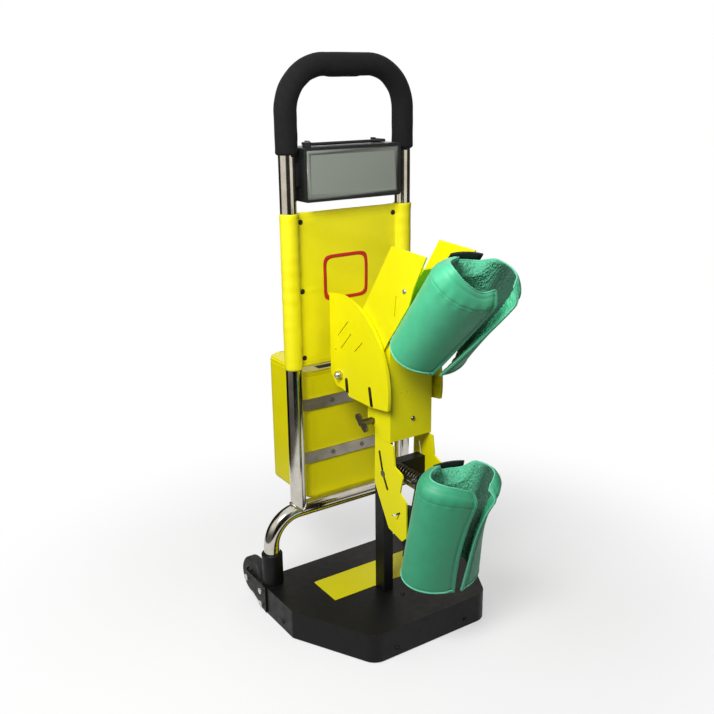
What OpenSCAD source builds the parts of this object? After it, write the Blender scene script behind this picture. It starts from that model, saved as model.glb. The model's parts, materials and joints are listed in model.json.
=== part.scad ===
// Escalator handrail cleaning stand: a weighted base, a tube hand-truck frame and a carriage on a post
// that holds two cloth sleeves against the moving handrail.
// Frame: origin on the floor at the centre of the base, +X right, +Y back, +Z up, millimetres.

/* [Base] */
// Width of the base tray
base_w = 440; // [400:1:520]
// Depth of the base tray
base_d = 304; // [290:1:360]
// Height of the tray's top face above the floor
base_h = 62; // [54:1:80]
// Clear height under the skirt
skirt_clear = 2; // [1:0.5:5]
// Sheet thickness of the tray
tray_sheet = 3; // [2:0.5:5]
// Width cut off each front corner of the tray
corner_cut_w = 86; // [50:1:100]
// Depth cut off each front corner of the tray
corner_cut_d = 162; // [100:1:170]
// Rounding of the two front corners
front_corner_r = 32; // [10:1:40]
// Rounding of the side and rear corners
side_corner_r = 12; // [6:1:20]
// Thickness of the steel ballast plate
ballast_t = 20; // [12:1:24]
// Height of the rubber feet
foot_h = 6; // [4:1:10]
// Diameter of the rubber feet
foot_d = 36; // [24:1:44]
// Width of the blank label on the tray
label_w = 260; // [120:1:300]
// Depth of the blank label on the tray
label_d = 82; // [40:1:90]
// Thickness of the blank label
label_t = 0.6; // [0.4:0.1:1]

/* [Tube frame] */
// Outside diameter of the stainless tube
tube_d = 32; // [28:1:36]
// Wall of the stainless tube
tube_wall = 1.5; // [1:0.25:3]
// Distance of the tube plane before the base's rear edge
frame_inset = 24; // [17:1:37]
// Outside diameter of the sockets on the tray
socket_d = 43; // [40:1:50]
// Height of the sockets
socket_h = 68; // [40:1:72]
// Height of the stirrup's level run, at the tube's centre
stirrup_z = 207; // [195:1:212]
// Bend radius of the stirrup, at the tube's centre
stirrup_r = 64; // [50:1:66]
// Distance between the centres of the two uprights
upright_span = 262; // [240:1:280]
// Bend radius of the hoop, at the tube's centre
hoop_r = 83; // [60:1:110]
// Height of the hoop's top, at the tube's centre
hoop_top = 1079; // [1050:1:1200]
// Height of the flat cross bars
bar_h = 24; // [16:1:32]
// Thickness of the flat cross bars
bar_t = 3; // [2:0.5:4]
// Height of the upper cross bar's centre
upper_bar_z = 423; // [400:1:450]
// Height of the lower cross bar's centre
lower_bar_z = 308; // [270:1:350]
// Distance between the two rivets of a cross bar
rivet_span = 72; // [40:1:120]

/* [Grip and banner] */
// Outside diameter of the foam grip
grip_d = 42; // [38:1:48]
// Height where the foam grip starts
grip_low = 921; // [912:1:960]
// Height of the banner's lower edge
banner_low = 511; // [509:1:560]
// Height of the banner's upper edge
banner_high = 814; // [760:1:826]
// Thickness of the banner's coated cloth
banner_t = 1.4; // [1:0.1:2]
// Diameter of the banner's snap fasteners
snap_d = 11; // [8:1:14]

/* [Announcer box] */
// Height of the box
box_h = 100; // [80:1:104]
// Height of the box's underside
box_low = 834; // [832:1:850]
// Depth of the box behind its bezel
box_d = 50; // [40:1:70]
// Distance from the uprights' plane forward to the bezel's face
box_front = 26; // [20:1:34]
// Wall of the box shell
box_wall = 3; // [2:0.5:4]
// Gap between the box and each upright
box_gap = 6; // [6:0.5:9]
// Depth of the bezel
bezel_t = 4; // [3:0.5:6]
// Width of the bezel round the grey panel
bezel_w = 5; // [4:1:12]
// Thickness of the grey panel
panel_t = 2; // [1.5:0.5:2.5]
// Diameter of the knob on the box
knob_d = 16; // [12:1:20]
// Height of the knob
knob_h = 9; // [6:1:12]
// Length of the folding handle
handle_l = 168; // [140:1:180]
// Reach of the folding handle
handle_reach = 24; // [20:1:26]
// Diameter of the handle's rod
handle_d = 6; // [5:0.5:7]

/* [Bin] */
// Width of the bin
bin_w = 194; // [160:1:220]
// Depth of the bin
bin_d = 159; // [120:1:180]
// Height of the bin
bin_h = 280; // [260:1:290]
// Height of the bin's underside
bin_low = 211; // [195:1:211]
// Wall of the bin
bin_wall = 3; // [2:0.5:5]
// Rounding of the bin's upright edges
bin_corner_r = 18; // [8:1:30]
// Thickness of the lid
lid_t = 10; // [9:1:14]
// Depth of the lid's lip inside the bin
lid_lip = 5; // [3:1:10]
// Diameter of the lid's hinge pin
lid_pin_d = 5; // [3:0.5:5]

/* [Wheels] */
// Diameter of the rear wheels
wheel_d = 80; // [60:1:86]
// Width of the rear wheels
wheel_w = 25; // [18:1:30]
// Clear height under the wheels when the stand is upright
wheel_lift = 9; // [6:1:14]
// Gap between the wheels and the back of the tray
wheel_gap = 3; // [2:0.5:8]
// Diameter of the wheel hubs
hub_d = 48; // [36:1:56]
// Diameter of the axles
axle_d = 10; // [8:1:12]
// Thickness of the wheel brackets
bracket_t = 3.5; // [3:0.5:5]

/* [Post and carriage] */
// Width of the post
post_w = 22; // [18:1:24]
// Depth of the post
post_d = 32; // [28:1:34]
// Wall of the post
post_wall = 2; // [1.5:0.5:3]
// Sideways place of the post's centre
post_x = -22; // [-24:1:-18]
// Front to back place of the post's centre
post_y = -22; // [-23:1:-18]
// Height of the post's top
post_top = 600; // [585:1:620]
// Outside width of the carriage
carriage_w = 96; // [94:1:110]
// Sheet thickness of the carriage and its plates
plate_t = 3; // [2.5:0.5:4]
// Gap between neighbouring plates
plate_gap = 3; // [2.5:0.5:4]
// Distance of the carriage's front face before the base's centre
web_front = 80; // [76:1:90]
// Height of the carriage's lower edge
web_low = 405; // [400:1:410]
// Height of the carriage's upper edge
web_high = 608; // [590:1:615]
// Depth of the carriage's cheeks
cheek_d = 50; // [46:1:50]
// Length of the guide block on the post
guide_l = 110; // [90:1:120]
// Height of the wing screw
wing_z = 432; // [430:1:436]
// Span of the wings
wing_span = 42; // [30:1:46]
// Length of the wing screw's hub
wing_hub_l = 28; // [18:1:36]
// Diameter of the clamp screw
clamp_d = 8; // [6:1:10]

/* [Upper arm] */
// Distance of the tilt pivot behind the base's centre
pivot_y = 65; // [60:1:72]
// Height of the tilt pivot
pivot_z = 503; // [498:1:506]
// Diameter of the pivot bolt
pivot_d = 10; // [8:1:12]
// Radius of the quadrant plates
quadrant_r = 160; // [152:1:166]
// Thickness of the quadrant plates
quadrant_t = 6; // [4:0.5:8]
// Forward lean of the upper arm
upper_lean = 38; // [34:1:42]
// Width of the arm plates behind the pivot line
arm_rear = 28; // [24:1:34]
// Width of the arm plates before the pivot line
arm_front = 45; // [40:1:50]
// How far the left arm plate stands forward below its bevel
arm_brow = 10.5; // [0:0.5:11]
// Length of the arm plates from the pivot
arm_l = 368; // [350:1:390]
// Distance from the pivot to the lower end of the upper sleeve
upper_start = 196; // [186:1:200]
// Set-back of the mount plate behind the arms' front edges
mount_back = 6; // [3:1:10]

/* [Lower pad] */
// Distance of the lower pivot before the base's centre
lower_pivot_front = 98; // [94:1:102]
// Height of the lower pivot
lower_pivot_z = 238; // [234:1:244]
// Diameter of the lower pivot pins
lower_pin_d = 8; // [6:1:10]
// Forward lean of the lower pad
lower_lean = 13.5; // [10:0.5:16]
// Swing of the lower pad against its spring
lower_swing = 8; // [4:0.5:8]
// Distance from the lower pivot forward to the lower bracket's plate
lower_reach = 27; // [24:1:36]
// Distance of the lower sleeve's lower end below the lower pivot
lower_drop = 50; // [40:1:60]
// Height of the spring's centre
spring_z = 344; // [342:1:346]
// Outside diameter of the spring
spring_d = 22; // [18:1:24]
// Wire of the spring
spring_wire = 2.4; // [1.6:0.2:3]
// Number of curls
spring_curls = 11; // [8:1:14]
// Diameter of the stop rod
rod_d = 8; // [6:1:10]

/* [Sleeves] */
// Width of a sleeve
sleeve_w = 168; // [150:1:176]
// Depth of a sleeve
sleeve_d = 110; // [100:1:120]
// Length of the upper sleeve
sleeve_l = 200; // [185:1:205]
// Length of the lower sleeve
lower_sleeve_l = 222; // [200:1:225]
// Thickness of a sleeve's padded cloth
sleeve_wall = 24; // [18:1:26]
// Thickness of the cloth at the lips and the rim
lip_t = 5; // [4:0.5:8]
// Width of the slit at a sleeve's top
slit_w = 24; // [18:1:40]
// Width of the slit at a sleeve's lower end
slit_low = 13; // [12:1:40]
// Shift of the upper slit's top to the right
upper_shift = 44; // [0:1:48]
// Shift of the upper slit's lower end to the left
upper_shift_low = 16; // [0:1:24]
// Shift of the lower slit's top to the right
lower_shift = 20; // [0:1:24]
// Bow of the lower slit's left lip, away from the slit
lower_bow = 12; // [0:1:16]
// Flare of the right lip at the top, as a share of the radius
lip_flare = 0.34; // [0:0.01:0.36]
// Height of the drawn-in collar at a sleeve's top
collar_l = 28; // [20:1:36]
// How far the collar is drawn in
collar_in = 17; // [4:1:18]
// Steepness of the upper collar's curve
upper_roll = 1.5; // [1.2:0.1:3]
// Steepness of the lower collar's curve
lower_roll = 2.6; // [1.2:0.1:3]
// Rise of the upper sleeve's rim on the left
upper_rise = 20; // [0:1:24]
// Rise of the lower sleeve's rim on the left
lower_rise = 5; // [0:1:10]
// Narrowing of the lower sleeve's right side, as a share of the radius
lower_waist = 0.2; // [0:0.01:0.22]
// Dip of a sleeve's rim at the slit
corner_dip = 14; // [0:1:18]
// Rounding of the rim's corners beside the slit
corner_round = 10; // [0:1:12]
// Dip of a sleeve's rim before its shell
back_dip = 30; // [10:1:32]
// Drop of a sleeve's lower end at its front
front_drop = 10; // [0:1:12]
// Thickness of the shells behind the sleeves
shell_t = 4; // [3:0.5:5]
// Half angle that a shell covers
shell_half = 22; // [16:1:24]
// Turn of a shell to the right
shell_turn = 14; // [8:1:14]
// Drop of a shell's top below its sleeve's rim
shell_under = 17; // [10:1:24]

/* [Fits] */
// Gap round fixed fasteners and between coped tubes
fix_gap = 0.1; // [0.05:0.05:0.2]
// Radial gap of turning pins in their holes
run_gap = 0.08; // [0.05:0.01:0.1]
// Gap of sliding pieces and soft pieces to their seats
slide_gap = 0.3; // [0.3:0.05:0.5]
// Diameter of the small screws
screw_d = 5; // [4:1:6]

/* [Hidden] */
$fn = 48;

// Colours of the object
black_paint = "#232325";
black_plastic = "#1b1b1d";
rubber = "#151516";
yellow_paint = "#f2ea1c";
yellow_cloth = "#f4ec22";
stainless = "#b9b6ae";
zinc = "#c9c9c6";
steel = "#8a8d90";
green_cloth = "#4bbf8d";
grey_panel = "#858b83";

// A little more than a wall, so that a cut goes clean through
over = 1;

// Base
head_d = 1.9 * screw_d;
head_h = 0.5 * screw_d;
tray_in = tray_sheet + 0.5;
ballast_low = foot_h;
ballast_high = foot_h + ballast_t;
tray_under = base_h - tray_sheet;
skirt_screw_z = foot_h + 0.6 * ballast_t;
screw_bite = 14;
peg_d = 8;
peg_h = 6;
// Plan of the tray, anticlockwise from its rear left corner
base_plan = [
    [-base_w / 2, base_d / 2],
    [-base_w / 2, corner_cut_d - base_d / 2],
    [corner_cut_w - base_w / 2, -base_d / 2],
    [base_w / 2 - corner_cut_w, -base_d / 2],
    [base_w / 2, corner_cut_d - base_d / 2],
    [base_w / 2, base_d / 2]];
base_plan_r = [side_corner_r, side_corner_r, front_corner_r, front_corner_r, side_corner_r, side_corner_r];
front_screw_x = base_w / 2 - corner_cut_w - 51;
side_screw_y = corner_cut_d - base_d / 2 + 38;
// The screw on top of the tray, beside the post
top_screw = [post_x + post_w / 2 + 5, post_y - post_d / 2 - 25];
standoff_d = 14;
foot_places = [
    for (side = [-1, 1]) [side * (base_w / 2 - 42), base_d / 2 - 34],
    for (side = [-1, 1]) [side * (base_w / 2 - corner_cut_w - 20), -base_d / 2 + 34],
    [0, 0]];

// Post foot
foot_plate_t = 5;
foot_plate_w = post_w + 48;
foot_plate_d = post_d + 12;
foot_screw_x = post_w / 2 + 14;

// Tube frame
frame_y = base_d / 2 - frame_inset;
tube_r = tube_d / 2;
socket_x = base_w / 2 - socket_d / 2 - 1.5;
socket_floor = 5;
upright_x = upright_span / 2;
bar_front = frame_y + 0.82 * tube_r;
bar_half = upright_x - sqrt(pow(tube_r, 2) - pow(bar_front - frame_y, 2)) - fix_gap;
bar_back = bar_front + bar_t;

// Banner
loop_in = tube_r + slide_gap;
loop_out = loop_in + banner_t;
panel_front = frame_y - banner_t;
snap_x = upright_x - tube_r - 8;
snap_edge = 18;
snap_cap = 2;
snap_shank_d = 4;
snap_rows = [banner_low + snap_edge, (banner_low + banner_high) / 2, banner_high - snap_edge];

// Announcer box
box_w = upright_span - tube_d - 2 * box_gap;
box_face = frame_y - box_front;
shell_front = box_face + bezel_t;
shell_back = shell_front + box_d;
box_r = 6;
back_t = 3;
box_high = box_low + box_h;
handle_y = shell_back - 8;
knob_gap = 1;
knob_place = [12 - box_w / 2, handle_y - handle_reach - handle_d / 2 - knob_gap - knob_d / 2];
knob_stem_d = 6;
handle_z = box_high + handle_d / 2 + 1;
lug_w = 6;
lug_d = 10;

// Bin
bin_front = bar_back;
bin_back = bin_front + bin_d;
bin_high = bin_low + bin_h;
barrel_d = lid_pin_d + 4;
barrel_half = 0.3 * bin_w;
hinge_gap = 0.5;
hinge_y = bin_back + hinge_gap + barrel_d / 2;
hinge_z = bin_high - lid_t / 2;
body_high = bin_high - lid_t - slide_gap;
knuckle_in = barrel_half + hinge_gap;
knuckle_out = knuckle_in + 14;
lid_gap = 1;
lid_step = 4;

// Wheels
wheel_r = wheel_d / 2;
wheel_z = wheel_r + wheel_lift;
wheel_y = base_d / 2 + wheel_gap + wheel_r;
bracket_in = base_w / 2;
bracket_out = bracket_in + bracket_t;
wheel_side_gap = 4.5;
wheel_out = bracket_in - wheel_side_gap;
wheel_in = wheel_out - wheel_w;
bracket_bolt_y = base_d / 2 - 19;
bracket_bolt_zs = [skirt_screw_z, base_h - 15];
bolt_d = 8;
bolt_head_d = 14;
bolt_head_h = 4;

// Carriage and its plates, each from its inner to its outer face
cheek_out = carriage_w / 2;
cheek_in = cheek_out - plate_t;
arm_in = cheek_out + plate_gap;
arm_out = arm_in + plate_t;
quad_in = arm_out + plate_gap;
quad_out = quad_in + quadrant_t;
web_y = -web_front;
cheek_back = web_y + cheek_d;
// Outline of a leg below the carriage, as steps back from the front face and down from the lower edge
leg_steps = [[cheek_d, 0], [cheek_d + 2, -99], [6, -178], [-37, -188], [-50, -176], [-50, -104], [-30, -92],
    [-39, -58], [-36, -52], [-14, -44], [-8, -4]];
leg_slot = [[23, -71], [9, -99]];
leg_slot_top = [35, -30];
hook_slot = [[-4, -149], [-30, -132]];
hook_slot_end = [-20, -150];
ear_r = 22;
web_screw = [4, web_y, web_low + 38];
guide_wall = 4;
guide_low = wing_z - 12;
guide_high = guide_low + guide_l;
block_front = 14;
block_d = 24;
block_low = spring_z - 30;
block_high = spring_z + 8;
block_bolt = [(leg_slot[0][0] + leg_slot[1][0]) / 2 + 8, -71];

// Wing screw
wing_hub_d = 13;
wing_hub_in = cheek_out + 1;
wing_t = 5;

// Upper pad, in the arm's own frame: y is behind the pivot line, z along the arm
mount_t = plate_t;
mount_y = -arm_front + mount_back;
mount_low = upper_start + 6;
mount_high = arm_l - 24;
upper_axis = mount_y - mount_t - shell_t - slide_gap - sleeve_d / 2;
tab_place = [-arm_front + 14, 278];
tab_size = [28, 44];
rivet_d = 6;

// Lower pad, in its own frame: y is behind the pins, z along the pad
lower_y = -lower_pivot_front;
lower_axis = -(lower_reach + plate_t + shell_t + slide_gap + sleeve_d / 2);
bracket_ear_r = 13;
bracket_half = cheek_in - 1;
bracket_low = -50;
bracket_high = 138;
// Where the plate of the lower bracket stands at a height, for a lean
function bracket_back_y(lean, z) =
    let (along = (z - lower_pivot_z + lower_reach * sin(lean)) / cos(lean))
    lower_y - lower_reach * cos(lean) - along * sin(lean);

// Spring and stop rod
spring_x = post_x;
spring_back = web_y + block_front;
seat_l = 7;
seat_d = spring_d + 3;
spring_end = bracket_back_y(lower_lean, spring_z) + seat_l;
rod_z = spring_z - 20;
rod_clear = 1;
rod_tip = bracket_back_y(lower_lean - lower_swing, rod_z) + rod_clear;
curl_rings = 8;
curl_sides = 6;
coil_r = (spring_d - spring_wire) / 2;
coil_l = spring_back - spring_end - 2 * slide_gap - spring_wire;
coil_count = spring_curls * curl_rings;
function coil_centre(i) = [
    spring_x + coil_r * cos(360 * i / curl_rings),
    spring_back - slide_gap - spring_wire / 2 - coil_l * i / coil_count,
    spring_z + coil_r * sin(360 * i / curl_rings)];
coil_centres = [for (i = [0 : coil_count]) coil_centre(i)];
coil_gap = min([
    for (i = [0 : coil_count], j = [i + curl_rings / 2 : coil_count])
        norm(coil_centres[i] - coil_centres[j])]) - spring_wire;
echo("least gap between the spring's curls", coil_gap);

// Points of a polygon whose corners are set in by a distance
function unit(v) = v / norm(v);
function inset_plan(points, by) = [
    for (i = [0 : len(points) - 1])
        let (
            before = unit(points[i] - points[(i + len(points) - 1) % len(points)]),
            after = unit(points[(i + 1) % len(points)] - points[i]),
            normal_a = [-before[1], before[0]],
            normal_b = [-after[1], after[0]])
        points[i] + by * (normal_a + normal_b) / (1 + normal_a * normal_b)];

// Points of a polygon with each corner rounded by its own radius
corner_steps = 8;
function round_plan(points, radii) = [
    for (i = [0 : len(points) - 1])
        let (
            before = unit(points[i] - points[(i + len(points) - 1) % len(points)]),
            after = unit(points[(i + 1) % len(points)] - points[i]),
            turn = acos(before * after),
            centre = points[i] - before * radii[i] * tan(turn / 2) + [-before[1], before[0]] * radii[i],
            start = atan2(-before[0], before[1]))
        for (k = [0 : corner_steps])
            centre + radii[i] * [cos(start + turn * k / corner_steps), sin(start + turn * k / corner_steps)]];

function tray_plan(inset) = round_plan(inset_plan(base_plan, inset), [for (r = base_plan_r) max(r - inset, 2)]);

// An upright plate drawn in the Y and Z plane, from x0 to x1
module side_plate(x0, x1) {
    translate([x0, 0, 0]) rotate([90, 0, 90]) linear_extrude(x1 - x0) children();
}

// The same shape on the left and on the right
module both_sides() {
    children();
    mirror([1, 0, 0]) children();
}

// A rod along X
module rod_x(x0, x1, d) {
    translate([x0, 0, 0]) rotate([0, 90, 0]) cylinder(h = x1 - x0, d = d);
}

// A rod along Y
module rod_y(y0, y1, d) {
    translate([0, y0, 0]) rotate([-90, 0, 0]) cylinder(h = y1 - y0, d = d);
}

// A rectangle with round corners, centred
module round_rect(w, h, r) {
    square([w - 2 * r, h], center = true);
    square([w, h - 2 * r], center = true);
    for (x = [-1, 1], y = [-1, 1]) translate([x * (w / 2 - r), y * (h / 2 - r)]) circle(r);
}

// A slot with round ends between two points
module slot(a, b, w) {
    turn = atan2(b[1] - a[1], b[0] - a[0]);
    steps = 8;
    polygon(concat(
        [for (k = [0 : steps]) b + w / 2 * [cos(turn - 90 + 180 * k / steps), sin(turn - 90 + 180 * k / steps)]],
        [for (k = [0 : steps]) a + w / 2 * [cos(turn + 90 + 180 * k / steps), sin(turn + 90 + 180 * k / steps)]]));
}

// A button screw: its head stands on z = 0 and its shank goes down
module button_screw(length) {
    difference() {
        cylinder(h = head_h, d1 = head_d, d2 = 0.7 * head_d);
        translate([0, 0, head_h / 2]) cylinder(h = head_h, d = 0.55 * screw_d, $fn = 6);
    }
    translate([0, 0, -length]) cylinder(h = length, d = screw_d);
}

// Places of the skirt's screws: children point outwards along +Z
module at_skirt_screws() {
    for (x = [-front_screw_x, front_screw_x]) {
        translate([x, -base_d / 2, skirt_screw_z]) rotate([90, 0, 0]) children();
        translate([x, base_d / 2, skirt_screw_z]) rotate([-90, 0, 0]) children();
    }
    for (side = [-1, 1])
        translate([side * base_w / 2, side_screw_y, skirt_screw_z]) rotate([0, side * 90, 0]) children();
}

// Places of the wheel brackets' bolts on the right side
module at_bracket_bolts() {
    for (z = bracket_bolt_zs) translate([0, bracket_bolt_y, z]) children();
}

module base_tray() {
    color(black_paint) difference() {
        translate([0, 0, skirt_clear]) linear_extrude(base_h - skirt_clear) polygon(tray_plan(0));
        translate([0, 0, skirt_clear - over])
            linear_extrude(tray_under - skirt_clear + over) polygon(tray_plan(tray_sheet));
        at_skirt_screws() translate([0, 0, -screw_bite]) cylinder(h = screw_bite + over, d = screw_d + 2 * fix_gap);
        both_sides() at_bracket_bolts()
            rod_x(base_w / 2 - tray_sheet - over, base_w / 2 + over, bolt_d + 2 * fix_gap);
        translate([top_screw[0], top_screw[1], tray_under - over])
            cylinder(h = tray_sheet + 2 * over, d = screw_d + 2 * fix_gap);
        translate([post_x, post_y, base_h - tray_sheet / 2])
            cube([post_w + 2 * slide_gap, post_d + 2 * slide_gap, tray_sheet + 2 * over], center = true);
    }
}

module ballast_plate() {
    color(steel) difference() {
        translate([0, 0, ballast_low]) linear_extrude(ballast_t) polygon(tray_plan(tray_in));
        at_skirt_screws() translate([0, 0, -screw_bite - over])
            cylinder(h = screw_bite + 2 * over, d = screw_d + 2 * fix_gap);
        both_sides() translate([0, bracket_bolt_y, bracket_bolt_zs[0]])
            rod_x(base_w / 2 - tray_sheet - screw_bite - over, base_w / 2, bolt_d + 2 * fix_gap);
        for (p = foot_places) translate([p[0], p[1], ballast_low - over])
            cylinder(h = peg_h + over + fix_gap, d = peg_d + 2 * fix_gap);
        for (side = [-1, 1]) translate([post_x + side * foot_screw_x, post_y, ballast_high - screw_bite])
            cylinder(h = screw_bite + over, d = screw_d + 2 * fix_gap);
    }
}

module base_feet() {
    color(rubber) for (p = foot_places) translate(p) {
        cylinder(h = foot_h, d1 = foot_d - 4, d2 = foot_d);
        cylinder(h = foot_h + peg_h, d = peg_d);
    }
}

module base_screws() {
    color(black_paint) {
        at_skirt_screws() button_screw(tray_sheet + 8);
        translate([top_screw[0], top_screw[1], base_h]) button_screw(tray_sheet + 16);
        for (side = [-1, 1]) translate([post_x + side * foot_screw_x, post_y, ballast_high + foot_plate_t])
            button_screw(foot_plate_t + 8);
    }
}

module tray_standoff() {
    color(zinc) translate([top_screw[0], top_screw[1], ballast_high]) difference() {
        cylinder(h = tray_under - ballast_high, d = standoff_d);
        translate([0, 0, -over])
            cylinder(h = tray_under - ballast_high + 2 * over, d = screw_d + 2 * fix_gap);
    }
}

module base_label() {
    label_y = post_y + post_d / 2 + slide_gap + label_d / 2;
    color(yellow_cloth) translate([0, label_y, base_h]) linear_extrude(label_t) round_rect(label_w, label_d, 3);
}

// A socket that stands on the tray and holds one leg of the stirrup
module frame_socket() {
    translate([socket_x, frame_y, base_h]) difference() {
        union() {
            cylinder(h = socket_h - 2, d = socket_d);
            translate([0, 0, socket_h - 2]) cylinder(h = 2, d1 = socket_d, d2 = socket_d - 4);
        }
        translate([0, 0, socket_floor]) cylinder(h = socket_h, d = tube_d + 2 * fix_gap);
    }
}

module socket_left() {
    color(black_paint) mirror([1, 0, 0]) frame_socket();
}

module socket_right() {
    color(black_paint) frame_socket();
}

// Half of the stirrup as a solid of a given diameter, from its socket to the middle
module stirrup_half(d) {
    leg_low = base_h + socket_floor;
    bend_z = stirrup_z - stirrup_r;
    bend_x = socket_x - stirrup_r;
    translate([socket_x, frame_y, leg_low]) cylinder(h = bend_z - leg_low, d = d);
    translate([bend_x, frame_y, bend_z]) rotate([90, 0, 0])
        rotate_extrude(angle = 90) translate([stirrup_r, 0]) circle(d = d);
    translate([0, frame_y, stirrup_z]) rod_x(0, bend_x, d);
}

module stirrup_tube() {
    color(stainless) difference() {
        both_sides() stirrup_half(tube_d);
        both_sides() stirrup_half(tube_d - 2 * tube_wall);
        for (side = [-1, 1]) translate([side * socket_x, frame_y, base_h + socket_floor - over])
            cylinder(h = 2 * over, d = tube_d - 2 * tube_wall);
    }
}

// Half of the hoop as a solid of a given diameter, from a height to the middle of its top
module hoop_half(d, low) {
    bend_z = hoop_top - hoop_r;
    bend_x = upright_x - hoop_r;
    translate([upright_x, frame_y, low]) cylinder(h = bend_z - low, d = d);
    translate([bend_x, frame_y, bend_z]) rotate([90, 0, 0])
        rotate_extrude(angle = 90) translate([hoop_r, 0]) circle(d = d);
    translate([0, frame_y, hoop_top]) rod_x(0, bend_x, d);
}

module upright_hoop() {
    color(stainless) difference() {
        both_sides() hoop_half(tube_d, stirrup_z);
        both_sides() hoop_half(tube_d - 2 * tube_wall, stirrup_z - over);
        translate([0, frame_y, stirrup_z]) rod_x(-socket_x, socket_x, tube_d + 2 * fix_gap);
    }
}

module foam_grip() {
    color(rubber) difference() {
        both_sides() hoop_half(grip_d, grip_low);
        both_sides() hoop_half(tube_d + 2 * fix_gap, grip_low - over);
    }
}

// A flat bar between the uprights, with its two rivet holes
module cross_bar(z) {
    color(stainless) translate([0, bar_front, z]) rotate([-90, 0, 0]) linear_extrude(bar_t) difference() {
        square([2 * bar_half, bar_h], center = true);
        for (side = [-1, 1]) translate([side * rivet_span / 2, 0]) circle(d = screw_d + 2 * fix_gap);
    }
}

module upper_cross_bar() {
    cross_bar(upper_bar_z);
}

module lower_cross_bar() {
    cross_bar(lower_bar_z);
}

module bar_rivets() {
    rivet_head = 1.6;
    color(zinc) for (z = [lower_bar_z, upper_bar_z], side = [-1, 1])
        translate([side * rivet_span / 2, 0, z]) {
            rod_y(bar_front - rivet_head, bar_front, head_d);
            rod_y(bar_front, bin_front + bin_wall, screw_d);
            rod_y(bin_front + bin_wall, bin_front + bin_wall + rivet_head, head_d);
        }
}

module banner() {
    color(yellow_cloth) difference() {
        translate([0, 0, banner_low]) linear_extrude(banner_high - banner_low) {
            for (side = [-1, 1]) translate([side * upright_x, frame_y]) difference() {
                circle(loop_out);
                circle(loop_in);
            }
            translate([-upright_x + loop_in + banner_t / 2, panel_front])
                square([2 * (upright_x - loop_in - banner_t / 2), banner_t]);
        }
        for (side = [-1, 1], z = snap_rows) translate([side * snap_x, 0, z])
            rod_y(panel_front - over, frame_y + over, snap_shank_d + 2 * fix_gap);
    }
}

module banner_snaps() {
    color(black_plastic) for (side = [-1, 1], z = snap_rows) translate([side * snap_x, 0, z]) {
        translate([0, panel_front, 0]) rotate([90, 0, 0]) cylinder(h = snap_cap, d1 = snap_d, d2 = 0.7 * snap_d);
        rod_y(panel_front, frame_y, snap_shank_d);
        rod_y(frame_y, frame_y + snap_cap, 0.8 * snap_d);
    }
}

// A rounded frame that stands upright between two places along Y
module upright_rect(y0, y1, w, h, r) {
    translate([0, y1, box_low + box_h / 2]) rotate([90, 0, 0]) linear_extrude(y1 - y0) round_rect(w, h, r);
}

module box_shell() {
    color(black_plastic) difference() {
        union() {
            upright_rect(shell_front, shell_back, box_w, box_h, box_r);
            for (side = [-1, 1]) translate([side * (handle_l / 2 - lug_w - handle_d / 2), 0, 0])
                translate([-lug_w / 2, handle_y - lug_d / 2, box_high - over])
                    cube([lug_w, lug_d, handle_z - box_high + lug_d / 2 + over]);
        }
        upright_rect(shell_front - over, shell_back + over, box_w - 2 * box_wall, box_h - 2 * box_wall, box_r / 2);
        translate([0, handle_y, handle_z]) rod_x(-handle_l / 2, handle_l / 2, handle_d + 2 * run_gap);
        translate([knob_place[0], knob_place[1], box_high - box_wall - over])
            cylinder(h = box_wall + 2 * over, d = knob_stem_d + 2 * run_gap);
    }
}

module box_bezel() {
    color(black_plastic) difference() {
        upright_rect(box_face, shell_front, box_w, box_h, box_r);
        upright_rect(box_face - over, shell_front + over, box_w - 2 * bezel_w, box_h - 2 * bezel_w, 2);
        upright_rect(box_face + bezel_t / 2, shell_front + over, box_w - bezel_w, box_h - bezel_w, 2);
    }
}

module box_panel() {
    panel_gap = 2 * fix_gap;
    panel_back = box_face + bezel_t / 2 + panel_t;
    color(grey_panel)
        upright_rect(box_face + bezel_t / 2, panel_back, box_w - bezel_w - panel_gap, box_h - bezel_w - panel_gap, 2);
}

module box_back() {
    color(black_plastic) {
        upright_rect(shell_back, shell_back + back_t, box_w, box_h, box_r);
        upright_rect(shell_back - back_t, shell_back, box_w - 2 * box_wall - 2 * slide_gap,
            box_h - 2 * box_wall - 2 * slide_gap, box_r / 2);
    }
}

module box_battery() {
    battery = [0.55 * box_w, 0.5 * box_d, 0.45 * box_h];
    color(steel) translate([0, shell_back - back_t - battery[1] / 2, box_low + box_wall + battery[2] / 2])
        cube(battery, center = true);
}

module box_brackets() {
    strap_h = 40;
    strap_d = 1.25 * tube_r;
    color(black_plastic) both_sides() difference() {
        translate([box_w / 2, frame_y - strap_d / 2, box_low + box_h / 2 - strap_h / 2])
            cube([upright_x - box_w / 2, strap_d, strap_h]);
        translate([upright_x, frame_y, box_low]) cylinder(h = box_h, d = tube_d + 2 * fix_gap);
    }
}

module box_knob() {
    grips = 18;
    color(black_plastic) translate([knob_place[0], knob_place[1], box_high]) {
        difference() {
            translate([0, 0, slide_gap]) cylinder(h = knob_h, d = knob_d);
            for (i = [0 : grips - 1]) rotate(360 * i / grips) translate([knob_d / 2 + 0.4, 0, 2])
                cylinder(h = knob_h, d = 2, $fn = 16);
        }
        translate([0, 0, -box_wall - 3]) cylinder(h = box_wall + 3 + slide_gap + over, d = knob_stem_d);
    }
}

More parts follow.
